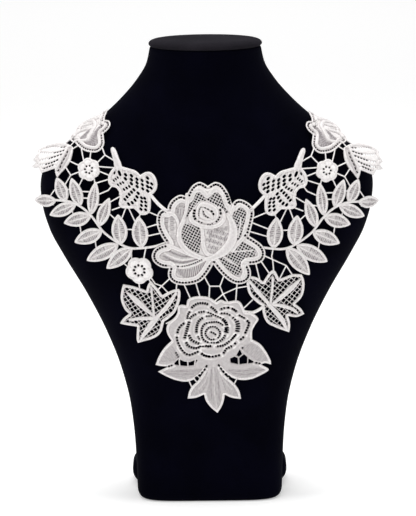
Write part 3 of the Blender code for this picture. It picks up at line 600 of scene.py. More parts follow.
def lace_mesh(name, points, faces, values):
    mesh = bpy.data.meshes.new(name)
    mesh.vertices.add(len(points))
    mesh.vertices.foreach_set("co", points.ravel())
    corners = np.concatenate([group.ravel() for group in faces])
    sizes = np.concatenate([np.full(len(group), group.shape[1]) for group in faces])
    mesh.loops.add(len(corners))
    mesh.loops.foreach_set("vertex_index", corners)
    mesh.polygons.add(len(sizes))
    mesh.polygons.foreach_set("loop_start", np.cumsum(sizes) - sizes)
    mesh.update(calc_edges=True)
    mesh.shade_smooth()
    stitches = mesh.uv_layers.new(name="stitches")
    stitches.data.foreach_set("uv", values[corners][:, 2:4].ravel())
    # attributes for the colour: stitch density, which also carries painted shade on band crowns, and painted
    # shade in recesses
    for k, label in ((4, "density_and_shade"), (5, "recess_shade")):
        layer = mesh.attributes.new(label, "FLOAT", "POINT")
        layer.data.foreach_set("value", values[:, k].astype(np.float32))
    return mesh


def sew(name, patch, node, mirrored, material):
    """The patch as one closed mesh on the form, in the place of its CAD node."""
    edge = np.where(np.abs(patch.edge) < LEAST_EDGE, LEAST_EDGE, patch.edge)
    inside = edge > 0
    inside[0, :] = inside[-1, :] = inside[:, 0] = inside[:, -1] = False
    edge = np.where(inside, edge, np.minimum(edge, -LEAST_EDGE))
    count = int(inside.sum())
    number = np.full(inside.shape, -1)
    number[inside] = np.arange(count)
    # painted shade: the colour is darkened where the cloth lies lower than its blurred surroundings, standing
    # in for shade in recesses
    around = blurred(np.where(inside, patch.top, FLAT), PAINTED_SHADE_BLUR)
    recess_shade = np.clip((around - patch.top) / PAINTED_SHADE_DEPTH, 0, 1)
    layers = np.stack([patch.u, patch.v, patch.along, patch.across, patch.density_and_shade, recess_shade], -1)
    cuts, (flat, upright), total = crossings(edge, inside, layers, count)

    faces = []
    for group in cell_faces(edge, inside, number, flat, upright):
        under = np.where(group < count, group + count, group)[:, ::-1]
        both = np.concatenate([group, under])
        faces.append(both[:, ::-1] if mirrored else both)

    share = np.sqrt(1 - (1 - np.clip(edge / ROUND, 0, 1)) ** 2)
    values = np.concatenate([layers[inside], layers[inside]] + cuts)
    heights = np.full(total, MIDDLE)
    over = np.maximum(patch.top, MIDDLE + LEAST_RISE) - MIDDLE
    heights[:count] = (MIDDLE + over * share)[inside]
    heights[count : 2 * count] = (MIDDLE - (MIDDLE - patch.bottom) * share)[inside]

    kept = largest(total, faces)
    place = np.cumsum(kept) - 1
    faces = [place[group[kept[group[:, 0]]]] for group in faces]
    values, heights = values[kept], heights[kept]
    u = -values[:, 0] if mirrored else values[:, 0]
    points = on_form(u, values[:, 1], heights) * MM

    mesh = lace_mesh(name, points, faces, values)
    mesh.materials.append(material)
    piece = bpy.data.objects.new(name, mesh)
    bpy.context.scene.collection.objects.link(piece)
    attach(piece, "root")
    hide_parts(node)


# The motifs' outlines in the chart, as in the CAD model. Each lobe starts at its notch.

ROSE_OUTLINE = lobes(
    [(-16, 43.3), (-14.3, 47.5), (-11, 52), (-6.5, 54.2), (-2.7, 53)],
    [(0, 51.2), (2.7, 53), (6.2, 54.2), (10.8, 52.3), (14.8, 47), (17, 41.5)],
    [(18.3, 37.6), (21, 40.4), (25, 41), (30, 38.8), (33.8, 35), (35, 30), (33.8, 23), (32.3, 17)],
    [(31.3, 13), (36, 10), (41, 6), (43.6, 1), (43.4, -3.8), (41, -7.3), (36, -9.2)],
    [(31, -9.5), (32.8, -14), (32.5, -20), (28.5, -23.8), (23, -24.7), (18, -23), (12.8, -19), (8, -13.8)],
    [(4.5, -9), (0.5, -16), (-5, -22.3), (-12, -25), (-20, -25.5), (-25.5, -24), (-29, -20.5), (-29.8, -16.5)],
    [(-29, -12.4), (-34, -12), (-38.5, -9.8), (-41.3, -6.5), (-42, -2.3), (-40, 2.2), (-36, 5.3)],
    [(-31.2, 6.8), (-34, 11), (-37, 17), (-38.4, 23), (-37.7, 29), (-35, 32.6)],
    [(-30.2, 33.2), (-29.5, 36.5), (-26.5, 41), (-21, 44.2)],
)
DROP_OUTLINE = lobes(
    [(-15.8, -41.8), (-14.6, -37), (-10, -34.7), (-4, -34.2), (2, -35.3)],
    [(7, -38.8), (10.5, -37), (14, -38.4), (18, -38.2), (22, -37.6), (25.5, -39.4), (28.3, -45)],
    [(29, -47), (34, -48), (39.3, -53), (36.8, -58), (34.6, -63), (34.7, -69.5)],
    [(35, -70), (41, -74), (46, -81), (49.5, -88)],
    [(50.2, -92), (45, -90.2)], [(42, -91.2), (48.4, -95.9)],
    [(42, -99.8), (35, -102.4), (27, -103), (20, -101), (14, -97)],
    [(10.2, -92.6), (12.5, -97), (17, -101.6), (22, -106.5), (25.3, -112)],
    [(26.7, -118.6), (19.5, -117.4)],
    [(14, -114.8), (13.3, -120), (11.3, -125.4)], [(8.5, -130), (3.2, -125.3), (-0.5, -120)],
    [(-2, -114.8), (-8, -117.4)], [(-14.7, -118.4), (-13.6, -112.6), (-11, -107.6), (-6.6, -103)],
    [(-1, -94), (-5, -98.6), (-10, -102.4), (-16, -104.3), (-24, -103.2), (-31.5, -100.4)],
    [(-37.8, -97.2), (-32.5, -94)], [(-30, -92.4), (-35, -92.4)],
    [(-39.6, -91.8), (-37.4, -85.5), (-34, -79), (-30.5, -74.5)],
    [(-27, -71), (-30, -66), (-31, -60.8), (-29, -56), (-24.5, -51.5)],
    [(-22.4, -47.6), (-22.2, -43), (-19.5, -41.3)],
)
DROP_HOLES = (
    [(-25, -89.3), (-24.5, -90.6), (-16, -91.4), (-9.5, -90.4), (-7, -86), (-9, -86.2), (-13, -88),
     (-17.5, -87.6), (-21.5, -85.6)],
    [(18.4, -88.4), (17.8, -85), (21, -83.4), (23.7, -84.6), (24, -89.8)],
    [(25.2, -89.9), (24.9, -84.6), (28.5, -81.7), (31, -84), (31, -89.3)],
    [(22.7, -82.4), (24.6, -83.6), (27, -81.6), (25.2, -77.4)],
)
MAPLE_LEFT = lobes(
    [(-46.5, -31), (-50.5, -29.6), (-57, -28)],
    [(-64.6, -27.2), (-66, -32), (-67, -38), (-66.3, -43), (-64, -48)],
    [(-60.5, -51.5), (-65.5, -56)], [(-68.8, -61), (-65, -61.4), (-60, -61.4)],
    [(-54, -61.4), (-54.4, -66.5), (-54.6, -72)], [(-53.6, -75.2), (-48, -72.8), (-42.5, -70.6),
     (-37.6, -67.6), (-34.6, -63.5), (-33.4, -59)],
    [(-32.6, -55.6), (-28.5, -52.2), (-24.5, -48), (-22, -42.4), (-20.4, -37), (-20.2, -31)],
    [(-21.4, -28.6), (-25.5, -29.4), (-30, -31.6)], [(-34, -34), (-37, -29.6), (-40.8, -25)],
    [(-42.6, -23), (-45, -26)],
)
MAPLE_RIGHT = lobes(
    [(55, -21.5), (59.5, -20), (65.5, -18.3)],
    [(72.6, -19), (74.8, -23.5), (75.6, -29), (75, -35.5), (72.6, -40)],
    [(68.5, -43.4), (74, -48)], [(77.8, -53.6), (73.3, -54.8), (69, -54.8)],
    [(63, -53), (64.6, -57), (65.2, -62)],
    [(64.6, -67), (57.5, -63.6), (51.5, -60.5), (46.8, -57.6), (43.8, -53), (42.4, -48)],
    [(41.7, -42.8), (38.6, -40.5), (34, -36), (31, -31), (29.8, -25)],
    [(29.6, -19.2), (33, -18.4), (38.3, -20)], [(42.3, -23), (45, -18.6), (47.4, -15.4)],
    [(49.8, -13.8), (51.8, -15.4), (53.4, -18.6)],
)
DAISY_LOW_CENTRE, DAISY_HIGH_CENTRE = (-51.5, -15), (-90.5, 62)
DAISY_LOW = flower(DAISY_LOW_CENTRE, 11, 5, 0.14, 0.3)
DAISY_HIGH = flower(DAISY_HIGH_CENTRE, 9, 6, 0.12, 0.2)
BUTTERFLY = lobes(
    [(-70.8, 64.5), (-72, 71), (-74.4, 77.5), (-73, 80), (-70.4, 78), (-67.4, 71.5)],
    [(-65.3, 65.3), (-60, 63.9), (-54.5, 62.2)],
    [(-50.8, 59), (-47.5, 61), (-43.5, 61.4), (-40, 58.6), (-38, 53.5), (-38.3, 48.5), (-40.5, 45.2)],
    [(-43, 43.8), (-42.5, 37), (-43.4, 31.2), (-46.4, 28.6), (-50.4, 28.6), (-53, 31)],
    [(-55.5, 33.3), (-60, 33), (-65, 33.6), (-67, 36.5), (-66.2, 41)],
    [(-66.8, 45.8), (-69, 48.6), (-73, 49.8), (-75.2, 53), (-75, 58), (-73, 62)],
)
# Leaves of a spray: where each leaves the stem, its tip, its width
SPRAY_LEAVES = (
    ((-49.8, 3), (-52, 27.5), 12.5), ((-65.6, 5), (-67.6, 28.5), 12.5), ((-82.5, 18.5), (-74, 41), 9.6),
    ((-88.4, 27.5), (-84.6, 53), 9.2), ((-97, 33.5), (-104, 55), 10.6), ((-109, 36.5), (-116.4, 55), 11),
    ((-117.5, 37), (-143, 34), 10.4), ((-100.5, 35), (-125, 24), 10.4), ((-88.6, 26.5), (-111.6, 19), 11.4),
    ((-80, 15), (-103.6, 3.6), 11.8), ((-67.5, 5), (-94.4, -11), 12.2),
)
LAST_LEAF = {"left": ((-57, 3), (-77.6, -15.6), 11.6), "right": ((-60, 3.4), (-79.4, -20.4), 12.4)}
SPRAY_STEM = (
    (-31, 7.6), (-39, 4.6), (-48, 3), (-58, 2.4), (-67, 5.8), (-79, 14.4), (-88, 26), (-97, 33.4),
    (-107, 36.8), (-119, 37.2),
)
SHOULDER_ROSE = lobes(
    [(-82, 91), (-78.6, 94.6), (-77.6, 98.9), (-80, 102.4)],
    [(-84.4, 103.4), (-85.6, 107), (-85.6, 111.5)],
    [(-86.6, 115.6), (-90.4, 112), (-95, 110.8), (-100.2, 110.8), (-106, 110.2)],
    [(-111, 108), (-113, 102)], [(-111.4, 95), (-113, 91.6), (-112.6, 88), (-109.8, 85)],
    [(-105.6, 83.4), (-101.8, 80.2), (-96.5, 76.8), (-90.6, 75.3), (-84.9, 75.6), (-81.2, 78.9),
     (-80, 83), (-81, 87.4)],
)
SHOULDER_LEAF = lobes(
    [(-106, 79.4), (-104.8, 74), (-105.4, 68.5), (-108.4, 63), (-112.6, 58.3)],
    [(-115.9, 54.4), (-117.4, 57.8)], [(-118.2, 61.4), (-122, 60.3), (-126, 59)],
    [(-131, 57.6), (-132.2, 60)], [(-134, 62.2), (-138, 61.8)], [(-142.6, 63), (-138.8, 65.2)],
    [(-137.6, 67), (-140, 67.2)], [(-143, 68.6), (-140.6, 72), (-139.6, 74.6)],
    [(-142.4, 77.6), (-138, 80.6), (-133, 82.4), (-126, 83.8), (-118.7, 84), (-112, 82.4)],
)

# Bars and cords from each motif to the next
ROSE_BRIDES = (
    [(-45.5, 19), (-37, 21.8)], [(-46.6, 12), (-35, 14.8)], [(-23, -25), (-23.5, -29.5)],
    [(-28.8, -21), (-34.5, -26.7), (-39.5, -25), (-42.8, -20)], [(-34.5, -26.7), (-37.4, -30)],
    [(-34.5, -26.7), (-30, -31.6)], [(-17.5, -25), (-13, -35.5)], [(-8.6, -24), (-5.4, -35)],
    [(-2.5, -18), (1.8, -26.2), (9.6, -26.2), (12.5, -18)], [(1.8, -26.2), (1.4, -36.5)],
    [(9.6, -26.2), (12, -32.5), (15.5, -38.8)], [(5.5, -38.5), (12, -32.5), (22, -27.8), (30, -26.5)],
    [(22.5, -24), (21.7, -38.5)], [(36.5, -8.5), (39.6, -21)], [(40.6, -7), (46.8, -16.5)],
    [(42.8, -2.5), (60, -11), (65, -18.8)], [(60, -11), (55, -21.5)], [(30, -22), (36, -21)],
    [(33.8, 23), (46, 18)], [(31.6, 16.5), (45, 12.4)], [(49.4, -5.6), (50.4, -16)],
)
ROSE_CORDS = ([(-30.5, 31.5), (-37, 37), (-43.5, 44.5)], [(32, 32.5), (38, 38.5), (43.5, 44.5)])
DROP_BRIDES = ([(-25, -53.4), (-31, -57)], [(-22, -43), (-22.5, -38)], [(28, -44), (34.5, -37.5)])
DROP_CORDS = ([(28, -47), (35.5, -47.6), (43, -43.6)],)
LOW_DAISY_BRIDES = ([(-52, -25), (-51.5, -30.5)], [(-44, -22), (-42.6, -25)])
BUTTERFLY_BRIDES = (
    [(-66, 34), (-72, 31.6)], [(-61.5, 33.6), (-65, 24.5)], [(-59.5, 33.6), (-54, 22)],
    [(-50.5, 29.5), (-51.7, 26)], [(-44.5, 31), (-33.5, 26.4)], [(-66.5, 42), (-73, 38)],
    [(-72, 50.5), (-75, 46.6), (-83, 43)], [(-75, 55), (-85, 51.6)],
)
DAISY_BRIDES = (
    [(-90, 70), (-90, 77)], [(-95, 69), (-99, 80)], [(-84, 67.5), (-78.5, 73.5), (-81.6, 80)],
    [(-78.5, 73.5), (-71, 69.5)], [(-83, 64.5), (-71, 64)], [(-82.5, 61), (-73, 57.6)],
    [(-86, 55), (-85, 50)], [(-95, 55), (-98, 49)], [(-97.5, 60), (-104.6, 57), (-109, 50)],
    [(-104.6, 57), (-109.8, 64)], [(-98, 64.5), (-107, 68)],
)
SPRAY_BRIDES = (
    [(-63, 17), (-53, 17)], [(-89, 45), (-97, 45)], [(-88, 40), (-97, 40)], [(-103, 46), (-111, 46)],
    [(-74.5, 29), (-69, 24)], [(-84, 35), (-78, 36)], [(-104, 30), (-101.5, 20)],
    [(-98, 20), (-97, 10)], [(-86, 8), (-85, -2)], [(-76, -4), (-70, -9)], [(-116, 48), (-125, 38)],
    [(-119, 37.2), (-121, 33)],
)
LOW_BRIDES = {
    "left": ([(-46.5, 3), (-48.2, -6)], [(-57.6, 2), (-57.4, -8)], [(-66, -8), (-60, -13)]),
    "right": ([(-49.6, 2.6), (-48.6, -3), (-49, -5.8)],),
}
SHOULDER_BRIDES = (
    [(-101.8, 81), (-107, 76.8)], [(-106.6, 85.6), (-109.4, 79.6)], [(-110.6, 88.8), (-116.4, 82.4)],
)
BRIDE_WIDTH = 1.05
STEM_WIDTH = 1.9
CORD_WIDTH = 2.6
BRIDE_TOP, CORD_TOP, BAR_SIDE = 1.2, 1.7, 0.75
SEAM = 0.12           # between two motifs that touch
TUCK = 0.5            # how far a bar runs into its neighbour's edge


def on_side(side, outlines):
    """The outlines as the left arm has them, or their mirror images for the right one."""
    return [np.array(o) * ((1, 1) if side == "left" else (-1, 1)) for o in outlines]


def spray_outlines(side):
    stem = curve(SPRAY_STEM)
    way = np.gradient(stem, axis=0)
    way /= np.linalg.norm(way, axis=1)[:, None]
    off = np.stack([-way[:, 1], way[:, 0]], 1) * STEM_WIDTH / 2
    ribbon = np.concatenate([stem - off, (stem + off)[::-1]])
    return [ribbon] + [leaf(*row) for row in SPRAY_LEAVES + (LAST_LEAF[side],)]


# Every motif in the order in which they are laid down: an earlier one covers a later one
ORDER = [
    ("centre_rose", None, [ROSE_OUTLINE]), ("drop_rose", None, [DROP_OUTLINE]),
    ("maple_leaf", "left", [MAPLE_LEFT]), ("maple_leaf", "right", on_side("right", [MAPLE_RIGHT])),
    ("daisy_low", "left", [DAISY_LOW]),
]
for arm in ("left", "right"):
    ORDER += [
        ("butterfly", arm, [BUTTERFLY]), ("spray", arm, spray_outlines(arm)),
        ("daisy_high", arm, [DAISY_HIGH]), ("shoulder_rose", arm, [SHOULDER_ROSE]),
        ("shoulder_leaf", arm, [SHOULDER_LEAF]),
    ]


def neighbours(index):
    """The outlines of the earlier and of the later motifs, in the chart as this motif's side sees it."""
    side = ORDER[index][1]

    def seen(rows):
        found = []
        for _, other, outlines in rows:
            same = (side == "right") == (other == "right")
            found += on_side("left" if same else "right", outlines)
        return found

    return seen(ORDER[:index]), seen(ORDER[index + 1 :])


# The stitching of each motif

EDGE_CORD = 1.15      # width of the fine cord round a rose
EYELETS_IN = 1.95     # how far inside the outline its eyelets lie
BORDER_IN = 2.75      # and its padded border begins


def cord_edge(patch, outline, border=3.2, eyelet=(1.65, 1.65), pitch=2.55):
    """A fine cord round an outline, eyelets inside it, and a padded border inside them.

    The eyelets are cut by the function that is given back, once the petals are laid.
    """
    depth, along = patch.depth(outline, FAR)
    patch.top -= 0.22 * np.exp(-(((depth - 2.0) / 0.7) ** 2))
    patch.rim(depth, along, BORDER_IN + border / 2, border, PADDED)
    patch.rim(depth, along, EDGE_CORD / 2, EDGE_CORD, CORD, groove=0.15, foot=0.9)
    return lambda: patch.edge_row(outline, EYELETS_IN, pitch, *eyelet)


# The rose's open nets: their pitch, thread and the directions across the threads, in degrees, and
# for each its outline, how far it runs under what is laid on it, and where its threads start
ROSE_NET = (2.05, 0.6, (-28, 62))
ROSE_NETS = (
    ([(-14.6, 26.7), (-15.1, 30.5), (-13.9, 35), (-12.4, 39.6), (-10.4, 43.5), (-6.6, 45.8),
      (-3.5, 43), (-1.2, 41), (1.5, 43.4), (4.6, 46.1), (8.4, 45), (11, 41.3), (13.3, 37.1),
      (14.6, 32.2), (13, 28), (-8, 28)], 0.4, (0.1, 0.3)),
    ([(-15.5, 22.5), (-9, 20.6), (-4.2, 19.4), (-4.6, 12), (-5.6, 4), (-7, -1.6), (-11.5, 0.6),
      (-16, 4.4), (-19, 9), (-19.4, 15), (-18.2, 19.6)], 0, (0.2, 0.4)),
    ([(18.2, 30.6), (21.3, 33.8), (25, 34), (28.2, 30.8), (29, 25.4), (26.8, 19.1), (24.6, 12.4),
      (22.8, 9.6), (21.6, 14.6), (20.8, 20.6), (18.8, 26.1)], 0.6, (0.6, 0.1)),
    ([(24.5, 8.6), (30, 8.4), (34.4, 4), (35.6, 0), (34, -3.6), (29, -6.2), (26.6, -8), (26, -12),
      (24.6, -16), (21, -17), (13.5, -11.4), (8, -5.8), (13, -3.4), (18.6, 0), (21.6, 4)],
     0.6, (0.3, 0.8)),
)
# Its inner eyelets: the line they lie on, their pitch along it, their length and width
ROSE_ROWS = (
    ([(-9.6, 33.4), (-10.3, 30.2), (-10.1, 27.6), (-8.8, 25.2)], 2.35, 1.75, 2.1),
    ([(-7.6, 24.4), (-5.7, 23.6), (-3.4, 22.8)], 1.9, 1.25, 1.2),
    ([(-0.6, 21.9), (1.8, 21.6), (4.2, 22.8)], 1.5, 1.0, 1.0),
    ([(6, 23.4), (8, 25.4), (9.4, 28.2)], 2.1, 1.6, 1.4),
    ([(9.8, 29), (9.7, 31.8), (9, 34)], 2.6, 2.1, 1.7), ([(8.2, 35.4), (5.6, 37.8)], 2.0, 1.3, 0.7),
    ([(-6.6, 28), (-6.5, 31.4), (-5.9, 33.8), (-4.6, 35.4)], 1.7, 1.1, 0.75),
    ([(-3, 35), (-0.4, 33.7), (1.4, 33)], 2.0, 1.45, 1.0),
    ([(2, 32.6), (4, 31), (4.6, 28.6)], 2.4, 1.8, 1.5),
    ([(-3.3, 32.4), (-2.7, 29.6), (-1.2, 28), (1, 26.8)], 1.9, 1.4, 1.0),
    ([(-19.6, -10.9), (-16, -10.3), (-11.9, -8.9), (-7, -6.7), (-3.6, -5)], 1.75, 1.05, 0.95),
    ([(3.6, -7.2), (6.2, -7)], 2.6, 1.7, 1.3), ([(14.2, 46), (16.2, 41), (17, 36.6)], 2.1, 1.5, 1.2),
)


def rose_petals(patch):
    """Petals filled with rows of stitches, dark where these part and pale where they rise."""
    # the petal left of the bud
    patch.hatch([(-25, 34), (-21.6, 37.6), (-17.4, 37), (-16.4, 31), (-18, 23), (-21, 21), (-23.6, 27)],
                4, 1.5, density_and_shade=0.82)
    patch.ticks([(-22.9, 30.4), (-22.6, 33.4), (-21.1, 35.4), (-19.3, 36), (-17.4, 34.6)],
                1.3, 1.2, 0.8, 0.5)
    patch.streak([(-20.3, 33.5), (-20.7, 23.5)], 0.9, 0.3)
    patch.streak([(-17.8, 33), (-18.9, 24.4)], 0.8, 0.3)
    patch.streak([(-22.2, 31.9), (-21.9, 22)], 0.8, 0.35)
    # the left petal
    patch.hatch([(-33, 25), (-29.4, 28.6), (-25, 27.4), (-23, 21), (-23, 11), (-25, 4.6), (-28.4, 9),
                 (-32, 18)], 96, 1.5, density_and_shade=0.82)
    patch.streak([(-32.2, 27.4), (-32.8, 23), (-31.6, 18)], 0.9, 0.4)
    patch.ticks([(-30.4, 26.6), (-31, 22), (-30.2, 15.4)], 1.5, 2.6, 0.7, 0.5)
    patch.ticks([(-27, 28), (-26.8, 23), (-26.4, 16.6)], 1.6, 2.6, 0.7, 0.5)
    patch.streak([(-28.8, 26), (-29, 18), (-27, 8)], 0.9, -0.3, -0.15)
    patch.streak([(-24.4, 25), (-24.2, 14)], 0.9, -0.25, -0.15)
    # the long petal below, with two dark rows between two raised ones
    patch.hatch([(-36.4, -1.5), (-31.5, 2.4), (-22, 0.6), (-12, -3), (0, -4.8), (-6, -8.4), (-16, -9.6),
                 (-28, -8), (-34.6, -5)], 96, 1.4, density_and_shade=0.82, shade=0.16)
    for line in ([(-30.5, 2.2), (-26.7, 0), (-22.1, -1.9), (-17.6, -3), (-12.4, -2.6), (-7.8, -2.2)],
                 [(-33, -3), (-27.4, -5.9), (-22.9, -7.4), (-17.6, -7.6), (-12.3, -6.5), (-7.1, -4.8)]):
        patch.streak(line, 1.6, 0.36)
        patch.ticks(line, 1.1, 1.7, 0.6, 0.3, 0.15)
    for line in ([(-31.9, -0.6), (-27.4, -3.1), (-22.1, -5.1), (-16.9, -5.6), (-11.6, -4.5), (-5, -3.4)],
                 [(-29, -7.8), (-23, -9.4), (-16, -9), (-9, -6.8), (-3, -4.6)]):
        patch.band(line, 1.5, THIN + 0.45, groove=0, foot=THIN)
    # the lowest petal, a fan of dark and pale lines
    patch.hatch([(-24, -12.4), (-15, -12.6), (-6, -9.2), (1, -5.6), (-2, -13), (-7, -18), (-14, -20.4),
                 (-20, -18.6), (-23.5, -15.6)], 4, 1.4, density_and_shade=0.7, shade=0.3)
    heads = curve([(-21.4, -13.5), (-16.4, -13.2), (-11, -11.8), (-5.6, -9), (-1.8, -6.8)])
    feet = curve([(-19.8, -17.4), (-15.6, -19.4), (-10.2, -19.8), (-4, -15.8), (-0.4, -11)])
    for k, line in enumerate(zip(heads, feet)):
        patch.streak(line, 0.62, -0.3 if k % 2 else 0.55, -0.15 if k % 2 else 0.25, smooth=False)
    # the petal under the bud, with rows of dark marks
    patch.hatch([(-1.5, 14), (1, 17.5), (6, 19.5), (12, 22.5), (16, 22), (16.6, 15), (14, 6), (8, 0.4),
                 (3, -1.4), (-1, 2.6), (-2, 9)], 72, 2.4, density_and_shade=0.94, shade=0.14)
    for line, shade in (
        ([(4.6, 18.6), (8.6, 18.2), (12.4, 18.4), (15.6, 19.4)], 0.63),
        ([(-0.4, 16.4), (2.6, 15.8), (7, 16.6), (11.6, 15.2), (15, 13.6)], 0.7),
        ([(1.1, 13.4), (4.1, 13.2), (7.1, 12.6), (10.9, 11.1), (14.8, 10.2)], 0.77),
        ([(-1.1, 10.4), (2.6, 9.6), (6.4, 8.1), (10.9, 6.5)], 0.77),
        ([(0.4, 5.4), (4.1, 4.1), (8, 3)], 0.7), ([(1.6, 1.4), (4.4, 0.6), (6.6, 1)], 0.42),
    ):
        patch.ticks(line, 1.3, 2.5, 0.95, shade, 0.35, 84)


def rose_borders(patch):
    """The padded edges of the petals, where one lies over the next."""
    patch.band([(-13.8, 42.6, 2.6), (-10.8, 46.6, 3.4), (-6.6, 48.4, 4.2), (-3, 46.4, 3.8), (-0.2, 43.6, 3.4),
                (2.6, 46.4, 3.8), (6.2, 48.4, 4.2), (10.2, 46.2, 3.4), (13.2, 41.6, 2.8), (15.4, 36.6, 2.4)],
               groove=0.05)
    for line in (
        [(-15.6, 44.5, 2.6), (-15.4, 38, 2.9), (-16.6, 30.5, 2.4), (-18.8, 24, 2.4)],
        [(16.2, 40, 2.4), (16.6, 35, 2.6), (17, 29, 2.4)],
        [(-35.4, 27.6, 3), (-30.8, 30, 3.2), (-25.6, 29, 3), (-22.4, 24, 2.2), (-21.6, 18, 1.6)],
        [(-36, 3.6, 2.6), (-29.5, 5.2, 3), (-22, 2.6, 3), (-12, -1.8, 2.8), (-1, -4.4, 2.2)],
    ):
        patch.band(line)
    patch.band([(-25, -11.4, 1.4), (-18, -11.8, 1.5), (-10, -9.8, 1.5), (-3, -6.4, 1.4), (3, -4, 1.2)],
               top=CORD + 0.3)
    for line in (
        [(20, 36.5, 3), (18.6, 33, 3.2), (17, 28, 3)],
        [(29.6, 17, 3), (26.6, 11.4, 3), (22.6, 7, 3.2), (18.6, 1.6, 3)],
        [(30.6, -8.6, 3), (26.4, -7.4, 2.6)], [(27.8, -9, 2.6), (27.9, -15, 3), (26.4, -19, 3)],
        [(-4.4, 20.4, 2.4), (-3.6, 12, 3), (-3, 5, 3.2), (0, -0.8, 3.2), (6, -2.6, 3)],
        [(-17.6, 25.4, 3), (-20.9, 18, 3.4), (-21, 10, 4), (-16.4, 2.6, 4.2), (-9, -2.2, 3.8),
         (-1, -4.8, 3.2), (5, -5, 2.6)],
    ):
        patch.band(line)
    patch.band([(15, 29.5, 3), (18, 24, 4.6), (19.4, 16.5, 6.4), (17.6, 8, 7.2), (12, 1, 6.6),
                (5, -3.2, 4.2), (-1, -4.6, 2.4)], top=PADDED + 0.1)


def rose_bud(patch):
    """An outer ring, a head that curls round, and a small leaf at its heart."""
    bud = closed([(-9.6, 35.4), (-12.6, 31.8), (-14.4, 27.4), (-13, 23.4), (-8, 20), (0, 18.6), (8, 19.6),
                  (13, 24), (13.6, 28.6), (11.9, 32.4), (8.8, 35.8), (5, 37.6), (0.2, 39.4), (-4, 39.8),
                  (-7.6, 38.2)])
    patch.fill(patch.depth(bud)[0], THIN + 0.1)
    for line in (
        [(11, 33.2, 1.8), (12.3, 29.8, 2.4), (11.8, 25, 3), (7, 21, 3), (0, 20, 3), (-7, 21.4, 3.4),
         (-11.8, 25, 3.6), (-12.6, 29.2, 2.8), (-11.5, 32, 1.8)],
        [(-7.4, 26, 1.6), (-8, 30, 1.8), (-7, 34.6, 2.4), (-3.8, 37, 3.6), (1, 35.9, 4.2), (5.2, 33.2, 4),
         (6.4, 29.6, 3.8), (5, 26, 3.2), (1.5, 24.4, 2.6), (-2.5, 24.2, 2.2), (-5.6, 25.4, 1.8)],
        [(-4.6, 34.4, 1.4), (-5.2, 30.6, 2.2), (-4.2, 27.8, 2.4), (-1.4, 26.2, 2.2), (1.6, 26, 1.6)],
    ):
        patch.band(line)
    patch.band([(-3.4, 34, 1.4), (-0.6, 31.2, 3.6), (2.2, 28.6, 3.6), (3.8, 26.6, 1.6)], top=PADDED + 0.1)


def paint_centre_rose(patch):
    patch.fill(patch.depth(ROSE_OUTLINE)[0], THIN + 0.1, 0.9)
    rose_petals(patch)
    for outline, under, phase in ROSE_NETS:
        patch.net(patch.depth(closed(outline))[0] + under, *ROSE_NET, phase)
    for vein in ([(25, 27), (24.4, 21), (23, 12)], [(19, 0.8), (26, 1.3), (34, 1.6)],
                 [(12, -3), (17, -6.4), (22.5, -10)]):
        patch.band(vein, 1.15, 1.3, groove=0, foot=0.9)
    outer_eyelets = cord_edge(patch, ROSE_OUTLINE)
    rose_borders(patch)
    rose_bud(patch)
    for row in ROSE_ROWS:
        patch.row(*row)
    patch.hole((-22.1, -10.9), 0.4, 1.5, 1.4)
    patch.hole((28.3, 13.4), 1.0, 1.9, 1.6)
    outer_eyelets()


